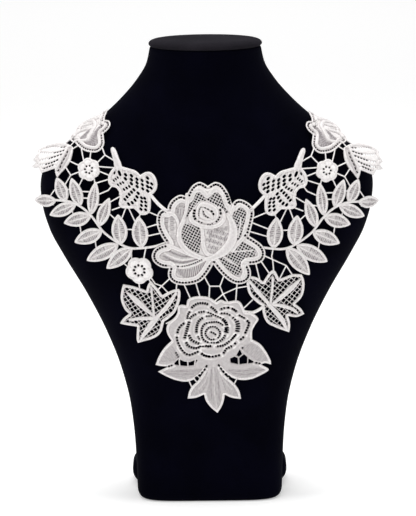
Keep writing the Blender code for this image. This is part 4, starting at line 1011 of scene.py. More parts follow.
# Dashes of the drop rose: the line they lie on, their pitch and their width
DROP_ROWS = (
    ([(2.5, -63), (6, -64.5), (6.5, -66)], 1.9, 1.5),
    ([(6, -69), (3, -69.5), (1, -68), (-1, -65.5), (-1, -63), (1, -60), (3, -59), (6, -59),
     (8.5, -61), (10, -63.5), (9.5, -66.5), (8, -68.5)], 1.8, 1.5),
    ([(12.5, -58), (10, -56), (7, -55), (1, -55.5)], 1.9, 1.5),
    ([(0.5, -55.5), (-2.5, -57.5), (-4, -61), (-4, -64.5), (-3.5, -68), (-1.5, -70.5),
     (1.5, -72)], 1.9, 1.8), ([(2.5, -72), (8.5, -72)], 2.0, 1.5), ([(4, -50), (-1, -50.5)], 1.7, 1.5),
    ([(-3, -51.5), (-6, -54), (-7.5, -57.5), (-8, -61), (-8, -64)], 1.9, 2.2),
    ([(-7, -66.5), (-5.5, -69.5)], 1.7, 1.5), ([(-13.5, -53), (-11.5, -50.5), (-8, -48.5)], 1.8, 2.0),
    ([(-7, -47.5), (-1.5, -46.5)], 1.7, 1.9), ([(0, -47), (3.5, -48.5), (11, -52)], 2.0, 1.5),
    ([(11.5, -52.5), (14, -55), (15, -58)], 1.9, 2.8), ([(15, -59), (15, -61.5), (14.5, -64)], 1.9, 3.7),
    ([(14, -65.5), (12.5, -68.5), (10, -70.5), (8, -72)], 1.7, 2.2),
    ([(-15, -53), (-14.5, -49.5), (-13, -46.5)], 1.9, 1.8),
    ([(-12, -44), (-9.5, -41.5), (-6, -40), (-2, -40), (1, -41)], 1.9, 2.1),
    ([(2.5, -42.5), (5, -44.5), (7.5, -47.5)], 1.9, 2.0),
    ([(-13.5, -54.5), (-16.5, -66.5), (-17, -69)], 1.9, 2.5),
    ([(-16, -71.5), (-14.5, -74.5), (-11.5, -76), (-8, -76.5), (-5.5, -75.5)], 1.9, 2.2),
    ([(-14, -65.5), (-12.5, -68.5), (-11, -70.5), (-5.5, -73)], 1.9, 2.5),
    ([(-17, -56), (-20, -58.5), (-22, -62), (-22.5, -65)], 2.2, 2.0),
    ([(-23, -67), (-22.5, -71), (-21, -74.5), (-19.5, -78)], 2.2, 1.8),
    ([(-20.5, -76), (-18, -79.5), (-15.5, -81.5), (-12.5, -82), (-6, -79)], 2.2, 1.9),
    ([(-6, -75), (-2, -75)], 2.2, 1.5), ([(-1.5, -74.5), (1, -75), (3.5, -74.5)], 1.9, 2.2),
    ([(7.5, -75), (13, -74), (17.5, -70.5)], 1.9, 2.0), ([(19, -69), (22.5, -65)], 2.0, 1.8),
    ([(10, -45), (12, -44), (14, -43.5)], 1.9, 1.9), ([(14.5, -43.5), (17.5, -43.5)], 2.8, 2.0),
    ([(18.5, -44), (21, -45.5), (22.5, -47)], 2.0, 2.0), ([(24, -49.5), (29, -52.5)], 2.2, 1.5),
    ([(30, -54), (32, -56.5), (29, -65)], 2.2, 2.0), ([(28.5, -67), (27, -68.5), (25, -70)], 2.2, 2.0),
    ([(10, -48), (13, -48), (15.5, -48.5), (18, -50)], 2.0, 1.5), ([(19, -51), (22, -54)], 1.8, 2.0),
    ([(22.5, -54), (23.5, -57), (23.5, -60), (23, -63.5)], 1.9, 3.7),
    ([(21.5, -66), (18, -70.5)], 1.9, 2.0), ([(22.5, -71.5), (20.5, -74)], 2.2, 2.0),
    ([(19.5, -74.5), (16, -76.5)], 1.9, 2.4), ([(15.5, -76), (12.5, -81)], 2.0, 2.0),
    ([(10.5, -82), (3.5, -83.5), (-1.5, -82.5)], 2.3, 1.9),
    ([(2.5, -83.5), (0, -83), (-2, -82.5), (-4.5, -80.5)], 2.2, 2.2),
    ([(-24, -80), (-21.5, -85)], 1.7, 1.5), ([(-30, -92.5), (-26, -91)], 2.2, 1.5),
    ([(37, -89), (42, -90.5)], 2.3, 1.5), ([(26.5, -76), (28, -77)], 1.7, 1.5),
)
DASH_GAP = 0.45       # the bar between two dashes
DROP_NOTCH = [(32, -85.4), (36.2, -88.2), (35.4, -89.1), (31.8, -89.5)]
DROP_SLITS = (
    [(0.4, -90), (-1.8, -94.4), (-5.4, -98.6), (-9.4, -101.6)],
    [(8.6, -89.4), (11, -93.4), (14.6, -97.6), (18.6, -100.8)],
)


def paint_drop_rose(patch):
    depth, along = patch.depth(DROP_OUTLINE, 4.0)
    patch.fill(depth, FLAT + 0.45, 0.65)
    for line, _, width in DROP_ROWS:
        patch.valley(line, 0.8 + width / 4, 0.35)
        patch.lip(line, 0.7 + width / 2, 0.16, 0.2)
    patch.top -= 0.25 * np.exp(-((depth / 1.4) ** 2))
    for outline, angle in (
        ([(-29.5, -76.5), (-26, -75), (-22.6, -79.4), (-20.4, -83.6), (-25.5, -87.4), (-31, -88.6),
          (-36.4, -89.6), (-33.8, -83.4)], 40),
        ([(26.4, -77), (30.4, -73.2), (36, -73.6), (42, -78.8), (46.6, -86), (45, -89), (38, -87.4),
          (33, -83)], -35),
        ([(-34, -97.2), (-24, -94.6), (-14, -93.6), (-5, -92.4), (-3.2, -94.8), (-9, -99.8), (-16, -101.8),
          (-24, -101)], 84),
        ([(16, -93), (25, -93.7), (35, -92.6), (44.4, -94.8), (40, -97.7), (34, -99.8), (27, -100.6),
          (20.4, -98.4)], 94),
        ([(-12.6, -115.4), (-12, -112), (-8.5, -107), (-3.2, -101), (0, -95.4), (1.8, -93), (1.6, -99),
          (0.2, -107), (-2.8, -112), (-7.6, -115)], 22),
        ([(3.6, -92), (6.4, -92), (9, -101), (11.4, -112), (11.8, -119), (9.2, -126), (4.8, -122.6),
          (0.9, -117), (0, -112), (2.4, -101)], 2),
        ([(8.6, -92.6), (11.2, -97), (15.4, -101.4), (20, -106.4), (23.4, -112), (24.6, -116.2), (19, -115),
          (14.6, -111.6), (11.6, -104)], -22),
    ):
        patch.hatch(outline, angle, 1.7, depth=0.15, density_and_shade=0.59, shade=0.17, top=FLAT + 0.1)
    patch.rim(depth, along, 1.0, 1.9, FLAT + 0.55, groove=0.22)
    for rib in ([(5, -91), (5.6, -104), (6.4, -115), (8.4, -127)], [(2, -93), (-1, -103), (-6, -110)],
                [(8.4, -92), (13, -102), (19, -110)]):
        patch.streak(rib, 1.2, -0.2, -0.25)
    for line in ([(-34, -96), (-24, -95.6), (-12, -95.4), (-5, -94)],
                 [(-30, -98.4), (-20, -98), (-10, -97.6)],
                 [(44, -95.4), (34, -95), (24, -95.4), (16, -94.6)], [(38, -98), (28, -98), (20, -97.2)],
                 [(3.4, -94), (3, -106), (4, -118)], [(8.4, -95), (9.4, -108), (10, -120)]):
        patch.streak(line, 1.0, 0.16, 0.1)
    patch.band([(-28, -93.4), (-24.5, -91.6)], 1.6, FLAT + 0.2, groove=0)
    patch.trim([np.array(outline) for outline in (*DROP_HOLES, DROP_NOTCH)], 0)
    for bar in ([(-21.3, -84.8), (-20.8, -91)], [(-14.6, -87), (-14.4, -92)], [(-8.7, -85.4), (-9.4, -91)],
                [(-13.6, -103.6), (-11.6, -108.4)], [(23.4, -101.4), (21, -106.4)],
                [(-9.6, -102), (-7.6, -104.4)], [(-6.6, -99.6), (-4.6, -102.4)], [(-3.8, -96.6), (-1.6, -99)],
                [(-1.8, -93.6), (0.8, -95.4)], [(17.2, -100), (15.6, -102.4)], [(13.6, -97), (12.2, -99.4)],
                [(11.4, -93.6), (9.6, -95.6)]):
        patch.band(bar, 1.0, 1.1, groove=0, foot=0.8)
    for line, pitch, width in DROP_ROWS:
        patch.row(line, pitch, pitch - DASH_GAP, width)
    for line in DROP_SLITS:
        patch.row(line, 2.9, 2.3, 1.6)


MAPLE_NET = (3.2, 0.6)         # pitch and thread


def paint_maple(patch, outline, veins, angles):
    depth, along = patch.depth(outline, 6.0)
    patch.fill(depth)
    patch.net(depth - 1.9, *MAPLE_NET, angles, (0.1, 0.35))
    patch.rim(depth, along, 1.1, 2.2, PADDED - 0.2)
    for vein in veins:
        patch.band(vein, groove=0.1, top=PADDED - 0.1)


# The maple leaves' veins, with their widths, and the directions across the threads of their nets.
# Those of the right leaf are drawn as the right arm has them, and mirrored with the rest of it.
MAPLE_VEINS = {
    "left": (
        (
            [(-61.5, -34, 1.4), (-56, -38.4, 4.2), (-50, -43.6, 4.2), (-44, -48.6, 2.6), (-40, -51.6, 2)],
            [(-42.5, -28, 1.7), (-41.6, -38, 1.7), (-40.6, -50, 1.8)],
            [(-23.6, -32, 2), (-29, -41, 3.2), (-34.4, -48, 3), (-40, -54, 2.4), (-45, -59.4, 2)],
            [(-59.6, -56.4, 1.8), (-52, -54.6, 2.8), (-43, -53.4, 2.8), (-37, -52.4, 2)],
            [(-51, -71.6, 1.8), (-47.6, -66, 3.4), (-42, -58.4, 3.6), (-37.6, -52.6, 2.4)],
        ),
        (-55, 35),
    ),
    "right": (
        (
            [(71.6, -23, 1.4), (66, -28.6, 4.2), (59, -34.6, 4.2), (51.6, -40.4, 2.6), (47.6, -43, 2)],
            [(49.8, -20, 1.8), (49.4, -30, 2), (48.4, -41, 2)],
            [(31.4, -21.6, 2), (37.6, -30, 3), (43.4, -37, 3), (48, -42.4, 2.4)],
            [(71, -51.6, 1.8), (66, -47.4, 2.8), (57, -43.6, 2.8), (48, -42, 2)],
            [(62.6, -65, 1.8), (58.4, -56, 3.6), (52.6, -48.4, 3.6), (46, -40.6, 2.4)],
        ),
        (40, -50),
    ),
}


def paint_daisy(patch, outline, centre, petals, turn, ring, eyelets, size):
    """Petals parted by valleys, and a ring of so many eyelets round the centre."""
    depth, along = patch.depth(outline, 12.0)
    patch.fill(depth, FLAT + 0.25)
    patch.top += 0.5 * eased(depth / 3.2)
    radius = ring * 2.8
    for k in range(petals):
        a = turn + 2 * math.pi * k / petals
        way = np.array([math.cos(a), math.sin(a)])
        patch.valley([centre + way * ring * 1.5, centre + way * radius], 0.7, 0.5, smooth=False)
    patch.rim(depth, along, 1.0, 1.8, FLAT + 0.6, groove=0.15)
    eyelet_ring = circle(centre, ring)
    patch.valley(eyelet_ring, 1.0, 0.4, smooth=False)
    patch.row(eyelet_ring, 2 * math.pi * ring / eyelets, size, size * 1.15, smooth=False)


# Slanted slots of the butterfly: the line they lie on, their pitch along it, their length and width
SLOT_SLANT = -50
BUTTERFLY_ROWS = (
    ([(-71.6, 53.6), (-67.2, 57.2)], 1.9, 2.3, 1.2), ([(-68.6, 50.6), (-62.8, 53.4)], 2.1, 2.4, 1.3),
    ([(-64, 47), (-58, 50.6)], 2.2, 2.6, 1.5), ([(-61.9, 60.4), (-62.1, 54.3)], 3.0, 3.2, 2.0),
    ([(-57.5, 59.8), (-57.5, 50.7)], 3.0, 3.2, 2.0), ([(-53.4, 57.2), (-53, 48.6)], 2.8, 3.0, 1.9),
    ([(-49.6, 56.4), (-48.7, 46.8)], 3.2, 2.9, 1.8), ([(-45.4, 58.4), (-45.1, 45.2)], 3.3, 3.2, 2.0),
    ([(-41.9, 53.8), (-42.8, 47.6)], 3.1, 3.0, 1.8),
    ([(-63, 39), (-59.6, 43.2), (-54.6, 48.4)], 2.6, 2.9, 1.8),
    ([(-60.8, 36), (-56.2, 38), (-53.6, 41.2), (-51.8, 46.4)], 2.8, 3.1, 1.9),
    ([(-49.8, 43), (-49.6, 37.6), (-50.2, 31.4)], 2.9, 2.8, 1.8),
    ([(-47.6, 42.6), (-46.4, 37), (-46.6, 31)], 2.9, 2.7, 1.8),
)


def paint_butterfly(patch):
    depth, along = patch.depth(BUTTERFLY, 4.0)
    patch.fill(depth, FLAT, 0.95)
    patch.rim(depth, along, 1.15, 2.2, PADDED - 0.2)
    patch.band([(-73, 78.6, 2.6), (-70.8, 73, 4), (-68, 67, 5), (-66.6, 62, 4), (-67, 56, 2)], groove=0.15)
    for line in ([(-65.6, 62), (-64.8, 57), (-62.8, 52)], [(-61.4, 61.4), (-60, 55), (-56.4, 48.6)],
                 [(-57, 60.4), (-56, 54), (-55.4, 48.6)], [(-52.6, 58), (-51.6, 52), (-52, 46.6)],
                 [(-48.3, 59), (-47.8, 52), (-47.6, 46.4)], [(-72.6, 53.4), (-66, 54.6), (-60, 50.6)],
                 [(-70, 50), (-64, 51.4), (-58, 48.4)], [(-66, 44), (-60, 46.8), (-55, 47.4)],
                 [(-64.4, 37), (-60, 41), (-53.6, 43.6)], [(-49.2, 44.6), (-49, 38), (-48.8, 30.6)],
                 [(-53.4, 44), (-53.6, 38), (-52, 33)]):
        patch.band(line, 1.7, FLAT + 0.5, groove=0.15)
    for line, pitch, length, width in BUTTERFLY_ROWS:
        patch.row(line, pitch, length, width, slant=SLOT_SLANT)
    patch.hole((-66.6, 59.9), math.radians(-65), 4.8, 2.1)
    patch.hole((-70.4, 60.1), math.radians(72), 2.6, 1.3)


def paint_spray(patch, side):
    """Leaves with a thin filling, two rows of dark marks, a raised rim and a vein that tapers."""
    for base, tip, width in SPRAY_LEAVES + (LAST_LEAF[side],):
        depth, along = patch.depth(leaf(base, tip, width), 6.0)
        patch.fill(depth)
        base = np.array(base)
        way = np.array(tip) - base
        angle = math.degrees(math.atan2(way[1], way[0]))
        aside = np.array([-way[1], way[0]]) / math.hypot(*way)
        inner = leaf(base + way * 0.07, np.array(tip) - way * 0.07, width - 3.2)
        patch.hatch(inner, angle - 12, 1.5, 0.18, 0.22, 0.85, THIN + 0.1, smooth=False)
        for offset, start, stop in ((0.2, 0.2, 0.7), (-0.21, 0.36, 0.82)):
            shift = aside * width * offset
            marks = [base + way * t + shift for t in (start, (start + stop) / 2, stop)]
            patch.ticks(marks, 1.6, 2.2, 0.85, 0.8, 0.3, 80)
        patch.rim(depth, along, 1.05, 2.0, FLAT + 0.6, groove=0.12)
        start, end = base + way * 0.06, base + way * 0.86
        vein = [(*start, 1.3), (*(start + end) / 2, 0.85), (*end, 0.6)]
        patch.band(vein, top=FLAT + 0.2, groove=0.15, foot=THIN)
    patch.band(SPRAY_STEM, STEM_WIDTH, FLAT + 0.55, groove=0.15, foot=1.0)


def paint_shoulder_rose(patch):
    patch.fill(patch.depth(SHOULDER_ROSE)[0], THIN + 0.1, 0.95)
    for outline in (
        [(-84.5, 99.4), (-82.4, 96.6), (-86, 93.2), (-87, 89.7), (-85, 84.7), (-85.2, 80.6), (-91.3, 79.3),
         (-96.8, 81), (-100.8, 82.8), (-94.1, 84.6), (-91.9, 89.9), (-89.1, 96.1)],
        [(-94.1, 96.6), (-95.9, 90.9), (-96.5, 87), (-103.4, 86.6), (-100, 91.2), (-97.4, 95.2)],
    ):
        patch.hatch(outline, 71, 1.9, density_and_shade=0.52, shade=0.3)
    for line in ([(-99, 82.4), (-93, 82.6), (-89.4, 87), (-87.6, 93)], [(-84, 98.6), (-86.6, 95.6), (-89, 90)],
                 [(-87, 82), (-92, 80.8)], [(-101.4, 87.6), (-98.4, 90.6), (-96, 94.4)]):
        patch.ticks(line, 1.5, 2.6, 0.9, 0.4)
    outer_eyelets = cord_edge(patch, SHOULDER_ROSE, border=2.4, eyelet=(1.3, 1.25), pitch=2.3)
    for line in (
        [(-104.6, 107.2, 2.4), (-97, 104.6, 3), (-92.2, 99.3, 3), (-92.4, 94.4, 2.4), (-94.5, 86.4, 2.2),
         (-99.5, 84.7, 2.4), (-105.1, 84.9, 2)],
        [(-88, 112, 1.6), (-94, 107.6, 2.4), (-101, 108, 2)],
        [(-97, 101.6, 2), (-104, 101.4, 2.4), (-110, 100, 2)],
        [(-99, 96, 2), (-105, 94.6, 2.4), (-110.4, 91, 2)],
    ):
        patch.band(line)
    patch.hole((-108, 88.6), 0.9, 2.4, 1.8)
    patch.row([(-88.6, 104.6), (-86.8, 100.4), (-84.4, 95)], 2.4, 1.5, 1.0)
    patch.row([(-100.4, 98.6), (-105, 98), (-109, 96)], 2.2, 1.4, 0.9)
    outer_eyelets()


# Rows of eyelets that spread over the shoulder leaf, from its axis outwards
LEAF_ROWS = (
    [(-112.6, 76.6), (-118, 74.6), (-126, 73.6), (-137, 75)],
    [(-113.6, 73), (-120, 70.6), (-127, 68.6), (-134, 67.6)],
    [(-116, 68.6), (-121, 66.2), (-127, 64.6), (-133, 63.6)], [(-119.4, 64.4), (-124, 62.6), (-129, 61)],
    [(-113, 79.4), (-119, 79.4), (-127, 80.2), (-134, 79.8)],
)
LEAF_SLITS = [(-109.5, 76.4), (-110.2, 71.4), (-112.4, 66.7), (-114, 62), (-116, 58.9)]


def paint_shoulder_leaf(patch):
    depth, along = patch.depth(SHOULDER_LEAF, 4.0)
    patch.fill(depth, FLAT + 0.15)
    for line in LEAF_ROWS:
        patch.valley(line, 1.1, 0.35)
    patch.rim(depth, along, 1.4, 2.4, PADDED - 0.2)
    patch.hatch(leaf((-107, 80), (-114.6, 57.4), 6.4), 20, 1.5, density_and_shade=0.8, shade=0.2, smooth=False)
    patch.band([(-110.8, 80, 1.4), (-111.6, 74, 2), (-113.6, 68, 2), (-116, 62.6, 1.6)])
    for line in LEAF_ROWS:
        patch.row(line, 2.6, 1.9, 1.3)
    patch.row(LEAF_SLITS, 3.0, 2.2, 1.1)


def bars(patch, rows, cords, others):
    """Thin twisted bars, and stouter cords, that run from this motif into its neighbours."""
    beyond = np.full(patch.u.shape, FAR)
    for outline in others:
        if patch.meets(outline):
            beyond = np.minimum(beyond, TUCK - patch.depth(outline)[0])
    own = patch.edge > 0
    straight = [(np.array(points, float), BRIDE_WIDTH, BRIDE_TOP) for points in rows]
    curved = [(curve(points, OUTLINE_PARTS), CORD_WIDTH, CORD_TOP) for points in cords]
    for path, width, top in straight + curved:
        distance, along, _ = patch.to_line(path, width / 2 + 1.2)
        edge = np.minimum(width / 2 - distance, beyond)
        here = (edge > 0) & ~own
        round_top = np.sqrt(np.clip(1 - (2 * distance / width) ** 2, 0, 1))
        crown = BAR_SIDE + (top - BAR_SIDE) * round_top
        patch.top[here] = np.maximum(crown, np.where(patch.edge > 0, patch.top, 0))[here]
        patch.edge = np.maximum(patch.edge, edge)
        patch.along[here], patch.across[here] = along[here], distance[here]
        patch.density_and_shade[here] = 1.0


PAINTERS = {
    "centre_rose": paint_centre_rose, "drop_rose": paint_drop_rose, "butterfly": paint_butterfly,
    "shoulder_rose": paint_shoulder_rose, "shoulder_leaf": paint_shoulder_leaf,
}
# centre, petals, turn, radius of the ring of eyelets, their number and size
DAISIES = {
    "daisy_low": (DAISY_LOW_CENTRE, 5, 0.3, 4.1, 9, 1.75),
    "daisy_high": (DAISY_HIGH_CENTRE, 6, 0.2, 2.9, 7, 1.35),
}


def paint(kind, side, outlines, patch):
    if kind == "maple_leaf":
        veins, angles = MAPLE_VEINS[side]
        flip = (1, 1, 1) if side == "left" else (-1, 1, 1)
        paint_maple(patch, outlines[0], [np.array(vein) * flip for vein in veins], angles)
    elif kind in DAISIES:
        paint_daisy(patch, outlines[0], *DAISIES[kind])
    elif kind == "spray":
        paint_spray(patch, side)
    else:
        PAINTERS[kind](patch)


# The bars and cords that belong to a motif
BARS = {
    "centre_rose": (ROSE_BRIDES, ROSE_CORDS), "drop_rose": (DROP_BRIDES, DROP_CORDS),
    "daisy_low": (LOW_DAISY_BRIDES, ()), "butterfly": (BUTTERFLY_BRIDES, ()),
    "daisy_high": (DAISY_BRIDES, ()), "shoulder_rose": (SHOULDER_BRIDES, ()),
}
STEP_FINE = 0.34      # the grid of the two large roses, which have the finest openings
STEP = 0.38


def make_lace(material):
    for index, (kind, side, outlines) in enumerate(ORDER):
        earlier, later = neighbours(index)
        rows, cords = BARS.get(kind, ((), ()))
        if kind == "spray":
            rows = SPRAY_BRIDES + LOW_BRIDES[side]
        step = STEP_FINE if kind in ("centre_rose", "drop_rose") else STEP
        patch = Patch([*outlines, *rows, *cords], step)
        paint(kind, side, outlines, patch)
        patch.trim(earlier, SEAM)
        bars(patch, rows, cords, earlier + later)
        label = f"{kind}_{side}" if side else kind
        sew(f"stitched_{label}", patch, f"lace_{label}", side == "right", material)


# Materials

def node(tree, kind, inputs=None, **settings):
    made = tree.nodes.new(kind)
    for key, value in settings.items():
        setattr(made, key, value)
    return set_inputs(made, inputs or {})


def set_inputs(made, inputs):
    for key, value in inputs.items():
        made.inputs[key].default_value = value
    return made


def new_material(name, inputs):
    """A material, its node tree and its shader with these inputs."""
    material = bpy.data.materials.new(name)
    material.use_nodes = True
    tree = material.node_tree
    return material, tree, set_inputs(tree.nodes["Principled BSDF"], {"Metallic": 0, **inputs})


def ramp(tree, source, low, high, dark, light, third=None):
    """Colour from a number: dark up to low, light from high, and maybe a third stop between them."""
    made = node(tree, "ShaderNodeValToRGB")
    stops = made.color_ramp.elements
    stops[0].position, stops[1].position = low, high
    stops[0].color, stops[1].color = (*dark, 1), (*light, 1)
    if third:
        stops.new(third[0]).color = (*third[1], 1)
    tree.links.new(source, made.inputs[0])
    return made.outputs[0]


def grey(value):
    return (value, value, value)


def times(tree, a, b):
    """Two colours multiplied."""
    made = node(tree, "ShaderNodeMix", {0: 1.0}, data_type="RGBA", blend_type="MULTIPLY")
    tree.links.new(a, made.inputs[6])
    tree.links.new(b, made.inputs[7])
    return made.outputs[2]


def noise(tree, place, scale, detail, **inputs):
    made = node(tree, "ShaderNodeTexNoise", {"Scale": scale, "Detail": detail, **inputs})
    tree.links.new(place, made.inputs["Vector"])
    return made.outputs["Fac"]


def bump(tree, height, strength, distance, under=None):
    """Small relief from a number, over another relief if there is one."""
    made = node(tree, "ShaderNodeBump", {"Strength": strength, "Distance": distance})
    tree.links.new(height, made.inputs["Height"])
    if under:
        tree.links.new(under, made.inputs["Normal"])
    return made.outputs[0]


def lace_material():
    """White lustrous thread: closely stitched satin is brighter, thin stitches show the dark ground, and
    painted shade darkens recesses, the crowns of padded bands and the grooves between stitches.
    """
    material, tree, shader = new_material("guipure_thread", {
        "Roughness": 0.62, "Specular IOR Level": 0.3, "Sheen Weight": 0.15, "Sheen Roughness": 0.4,
    })
    link = tree.links.new
    density_and_shade = node(tree, "ShaderNodeAttribute", attribute_name="density_and_shade").outputs["Fac"]
    recess_shade = node(tree, "ShaderNodeAttribute", attribute_name="recess_shade").outputs["Fac"]
    cotton = ramp(tree, density_and_shade, 0.25, 1.0, (0.3, 0.275, 0.285), (0.96, 0.935, 0.925),
                  (0.88, (0.755, 0.725, 0.72)))
    # painted shade in the recesses, darkening the thread's colour
    shaded = ramp(tree, recess_shade, 0.0, 1.0, grey(1), (0.7, 0.67, 0.68))
    colour = times(tree, cotton, shaded)

    where = node(tree, "ShaderNodeUVMap", uv_map="stitches").outputs[0]
    waves = {"Scale": 1 / (THREAD_PITCH * math.pi), "Distortion": 1.6, "Detail": 2.0}
    stitch = node(tree, "ShaderNodeTexWave", waves, wave_type="BANDS", bands_direction="X")
    link(where, stitch.inputs[0])
    stitches = stitch.outputs["Fac"]
    place = node(tree, "ShaderNodeTexCoord").outputs["Object"]
    fuzz = noise(tree, place, 2600.0, 3.0)
    patchy = noise(tree, place, 620.0, 4.0)
    # painted shade: the colour is darkened in the grooves between the satin's stitches
    threads = ramp(tree, stitches, 0.0, 0.45, (0.84, 0.83, 0.83), grey(1))
    uneven = ramp(tree, patchy, 0.3, 0.7, (0.82, 0.81, 0.81), grey(1))
    colour = times(tree, times(tree, colour, threads), uneven)
    link(colour, shader.inputs["Base Color"])
    rows = bump(tree, stitches, 0.5, 0.00012)
    link(bump(tree, fuzz, 0.35, 0.00008, rows), shader.inputs["Normal"])
    rough = node(tree, "ShaderNodeMapRange", {"To Min": 0.5, "To Max": 0.75})
    link(fuzz, rough.inputs[0])
    link(rough.outputs[0], shader.inputs["Roughness"])
    return material


def velvet_material(name, deep, raised, nap=1.0):
    """Short pile: near black, a little paler where the nap is brushed the other way."""
    material, tree, shader = new_material(name, {
        "Roughness": 0.95, "Specular IOR Level": 0.02, "Sheen Weight": 0.012,
        "Sheen Roughness": 0.55, "Sheen Tint": (0.35, 0.36, 0.5, 1),
    })
    link = tree.links.new
    place = node(tree, "ShaderNodeTexCoord").outputs["Object"]
    brushed = noise(tree, place, 26.0, 3.0, Roughness=0.55)
    pile = noise(tree, place, 1700.0, 4.0, Roughness=0.7)
    colour = ramp(tree, brushed, 0.35, 0.7, deep, raised)
    tips = ramp(tree, pile, 0.35, 0.75, grey(0.55), grey(1))
    link(times(tree, colour, tips), shader.inputs["Base Color"])
    link(bump(tree, pile, 0.6 * nap, 0.0003), shader.inputs["Normal"])
    return material


# The stand

RING_COUNT = 128


def section_ring(height, inset, z=None):
    """The stand's outline at a height, drawn in by the inset, and maybe laid at another z."""
    wide, front, back, power = section(np.array(height))
    a = 2 * math.pi * np.arange(RING_COUNT) / RING_COUNT
    c, s = np.cos(a), np.sin(a)
    deep = np.where(s < 0, front, back) - inset
    x = (wide - inset) * np.sign(c) * np.abs(c) ** (2 / power)
    y = deep * np.sign(s) * np.abs(s) ** (2 / power)
    return np.stack([x, y, np.full(RING_COUNT, height if z is None else z)], 1)


def loft(name, rings, material, node_name):
    """A closed solid through rings of points, its ends closed by rings that shrink to a point."""
    count = len(rings[0])
    points = np.concatenate(rings + [rings[0].mean(0)[None], rings[-1].mean(0)[None]]) * MM
    faces = []
    for k in range(len(rings) - 1):
        for j in range(count):
            after = (j + 1) % count
            faces.append((k * count + j, k * count + after, (k + 1) * count + after, (k + 1) * count + j))
    bottom, top = len(points) - 2, len(points) - 1
    last = (len(rings) - 1) * count
    for j in range(count):
        after = (j + 1) % count
        faces.append((after, j, bottom))
        faces.append((last + j, last + after, top))
    mesh = bpy.data.meshes.new(name)
    mesh.from_pydata([tuple(p) for p in points], [], faces)
    mesh.shade_smooth()
    mesh.materials.append(material)
    piece = bpy.data.objects.new(name, mesh)
    bpy.context.scene.collection.objects.link(piece)
    keep(piece, node_name)


def keep(piece, node_name):
    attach(piece, "root")
    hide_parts(node_name)


def make_stand(velvet, cap_velvet_painted_light):
    """The body, the cap over its neck and the foot behind it."""
    # height and inset of each ring: the rounded lower edge, the sides, the upper edge
    lower = [(0, 4.8), (0, 4.2), (0.4, 3.0), (1.0, 2.0), (1.8, 1.2), (3.0, 0.6), (4.4, 0.2)]
    sides = [(z, 0.0) for z in (*np.arange(6, 346, 3.0), 347.5, 349.0)]
    upper = [(349.6, 0.15), (BODY_TOP, 0.5), (BODY_TOP, 3.5)]
    rings = [section_ring(z, inset) for z, inset in lower + sides + upper]
    loft("velvet_stand_body", rings, velvet, "stand_body")

    base = BODY_TOP + CAP_GAP
    # height over the base and inset of each ring of the cap, bulged where it is negative
    steps = (
        (0, 3.0), (0, 0.8), (0.4, 0.1), (1.0, -0.6), (1.6, -0.9), (2.2, -1.0), (2.9, -0.85),
        (3.6, -0.4), (4.3, 0.4), (4.8, 1.4), (5.3, 2.9), (CAP_THICK, 5.2), (CAP_THICK, 9.0),
    )
    rings = [section_ring(BODY_TOP, inset, base + up) for up, inset in steps]
    loft("velvet_neck_cap", rings, cap_velvet_painted_light, "stand_neck_cap")

    back_face = float(SECTIONS[0, 3]) + CAP_GAP
    low = Vector((-FOOT_HALF_WIDTH, back_face, 0)) * MM
    high = Vector((FOOT_HALF_WIDTH, back_face + FOOT_DEPTH, FOOT_HEIGHT)) * MM
    bpy.ops.mesh.primitive_cube_add(size=1)
    foot = bpy.context.object
    foot.name = foot.data.name = "velvet_foot"
    foot.data.transform(Matrix.Translation((low + high) / 2) @ Matrix.Diagonal((*(high - low), 1)))
    soft = foot.modifiers.new("soft edges", "BEVEL")
    soft.width, soft.segments, soft.limit_method = FOOT_ROUND * MM, 10, "ANGLE"
    bpy.ops.object.modifier_apply(modifier=soft.name)
    foot.data.shade_smooth()
    foot.data.materials.append(velvet)
    keep(foot, "stand_foot")


# Floor, light and camera

CAMERA_DISTANCE = 2.2
CAMERA_UP = 11.0               # degrees above the horizontal
LOOK_AT = (0.0004, 0.0, 0.1846)
PIXEL = 0.000777               # metres in a pixel at that distance
PHOTO_SIZE = (416, 516)
ROLL = -0.6                    # degrees that the photo leans


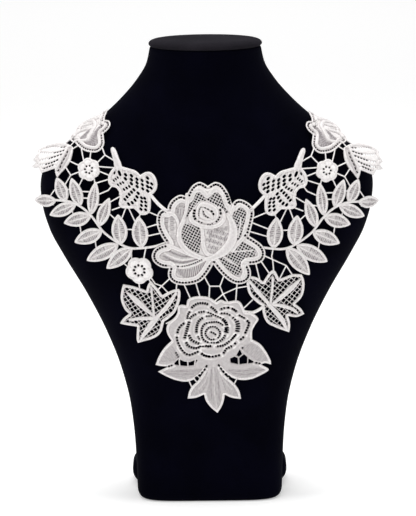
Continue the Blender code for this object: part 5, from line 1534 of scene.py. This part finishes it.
def make_camera():
    data = bpy.data.cameras.new("camera")
    data.sensor_fit = "AUTO"
    data.sensor_width = 36.0
    data.lens = data.sensor_width * CAMERA_DISTANCE / (PIXEL * max(PHOTO_SIZE))
    data.clip_end = 20
    camera = bpy.data.objects.new("camera", data)
    up = math.radians(CAMERA_UP)
    back = Vector((0, -math.cos(up), math.sin(up))) * CAMERA_DISTANCE
    turn = Matrix.Rotation(math.pi / 2 - up, 4, "X") @ Matrix.Rotation(math.radians(ROLL), 4, "Z")
    camera.matrix_world = Matrix.Translation(Vector(LOOK_AT) + back) @ turn
    bpy.context.scene.collection.objects.link(camera)
    bpy.context.scene.camera = camera


# Soft square lights: name, place, what each is turned to, size in metres, power in watts
LIGHTS = (
    ("key", (-0.5, -1.6, 1.7), (0, 0, 0.22), 1.2, 10), ("fill", (0.9, -1.7, 0.9), (0, 0, 0.2), 1.2, 2),
    ("left", (-1.3, -0.4, 1.3), (0, 0, 0.22), 0.8, 5.5), ("right", (1.3, -0.4, 1.3), (0, 0, 0.22), 0.8, 5.5),
    ("top", (0, 0.1, 1.9), (0, 0, 0.2), 1.0, 22), ("backdrop", (0, 3.8, 2.2), (0, 3.8, 0), 3, 26),
)
FLOOR_GLOW = 0.29
WORLD_LIGHT = 0.4


def add_area(name, place, target, size, power):
    data = bpy.data.lights.new(name, "AREA")
    data.shape, data.size, data.energy = "SQUARE", size, power
    light = bpy.data.objects.new(name, data)
    light.location = place
    light.rotation_euler = (Vector(target) - Vector(place)).to_track_quat("-Z", "Y").to_euler()
    bpy.context.scene.collection.objects.link(light)


def make_studio():
    bpy.ops.mesh.primitive_plane_add(size=12, location=(0, 3, 0))
    floor = bpy.context.object
    floor.name = floor.data.name = "floor"
    material, _, _ = new_material("pale_floor", {
        "Roughness": 0.9, "Base Color": (*grey(0.9), 1), "Emission Color": (*grey(1), 1),
        "Emission Strength": FLOOR_GLOW, "Specular IOR Level": 0.1,
    })
    floor.data.materials.append(material)

    world = bpy.data.worlds.new("studio")
    bpy.context.scene.world = world
    world.use_nodes = True
    light = {"Color": (*grey(1), 1), "Strength": WORLD_LIGHT}
    set_inputs(world.node_tree.nodes["Background"], light)
    for row in LIGHTS:
        add_area(*row)
    bpy.context.scene.view_settings.view_transform = "Standard"
    bpy.context.scene.view_settings.look = "None"


make_camera()
make_studio()
velvet = velvet_material("black_velvet", (0.0006, 0.0006, 0.0031), (0.0014, 0.0014, 0.0059))
# The cap's velvet is the body's velvet made paler: painted light standing in for the light that falls on the
# cap's top.
cap_velvet_painted_light = velvet_material("neck_cap_velvet_painted_light", (0.014, 0.013, 0.0165), (0.025, 0.0225, 0.028), 0.7)
make_stand(velvet, cap_velvet_painted_light)
make_lace(lace_material())
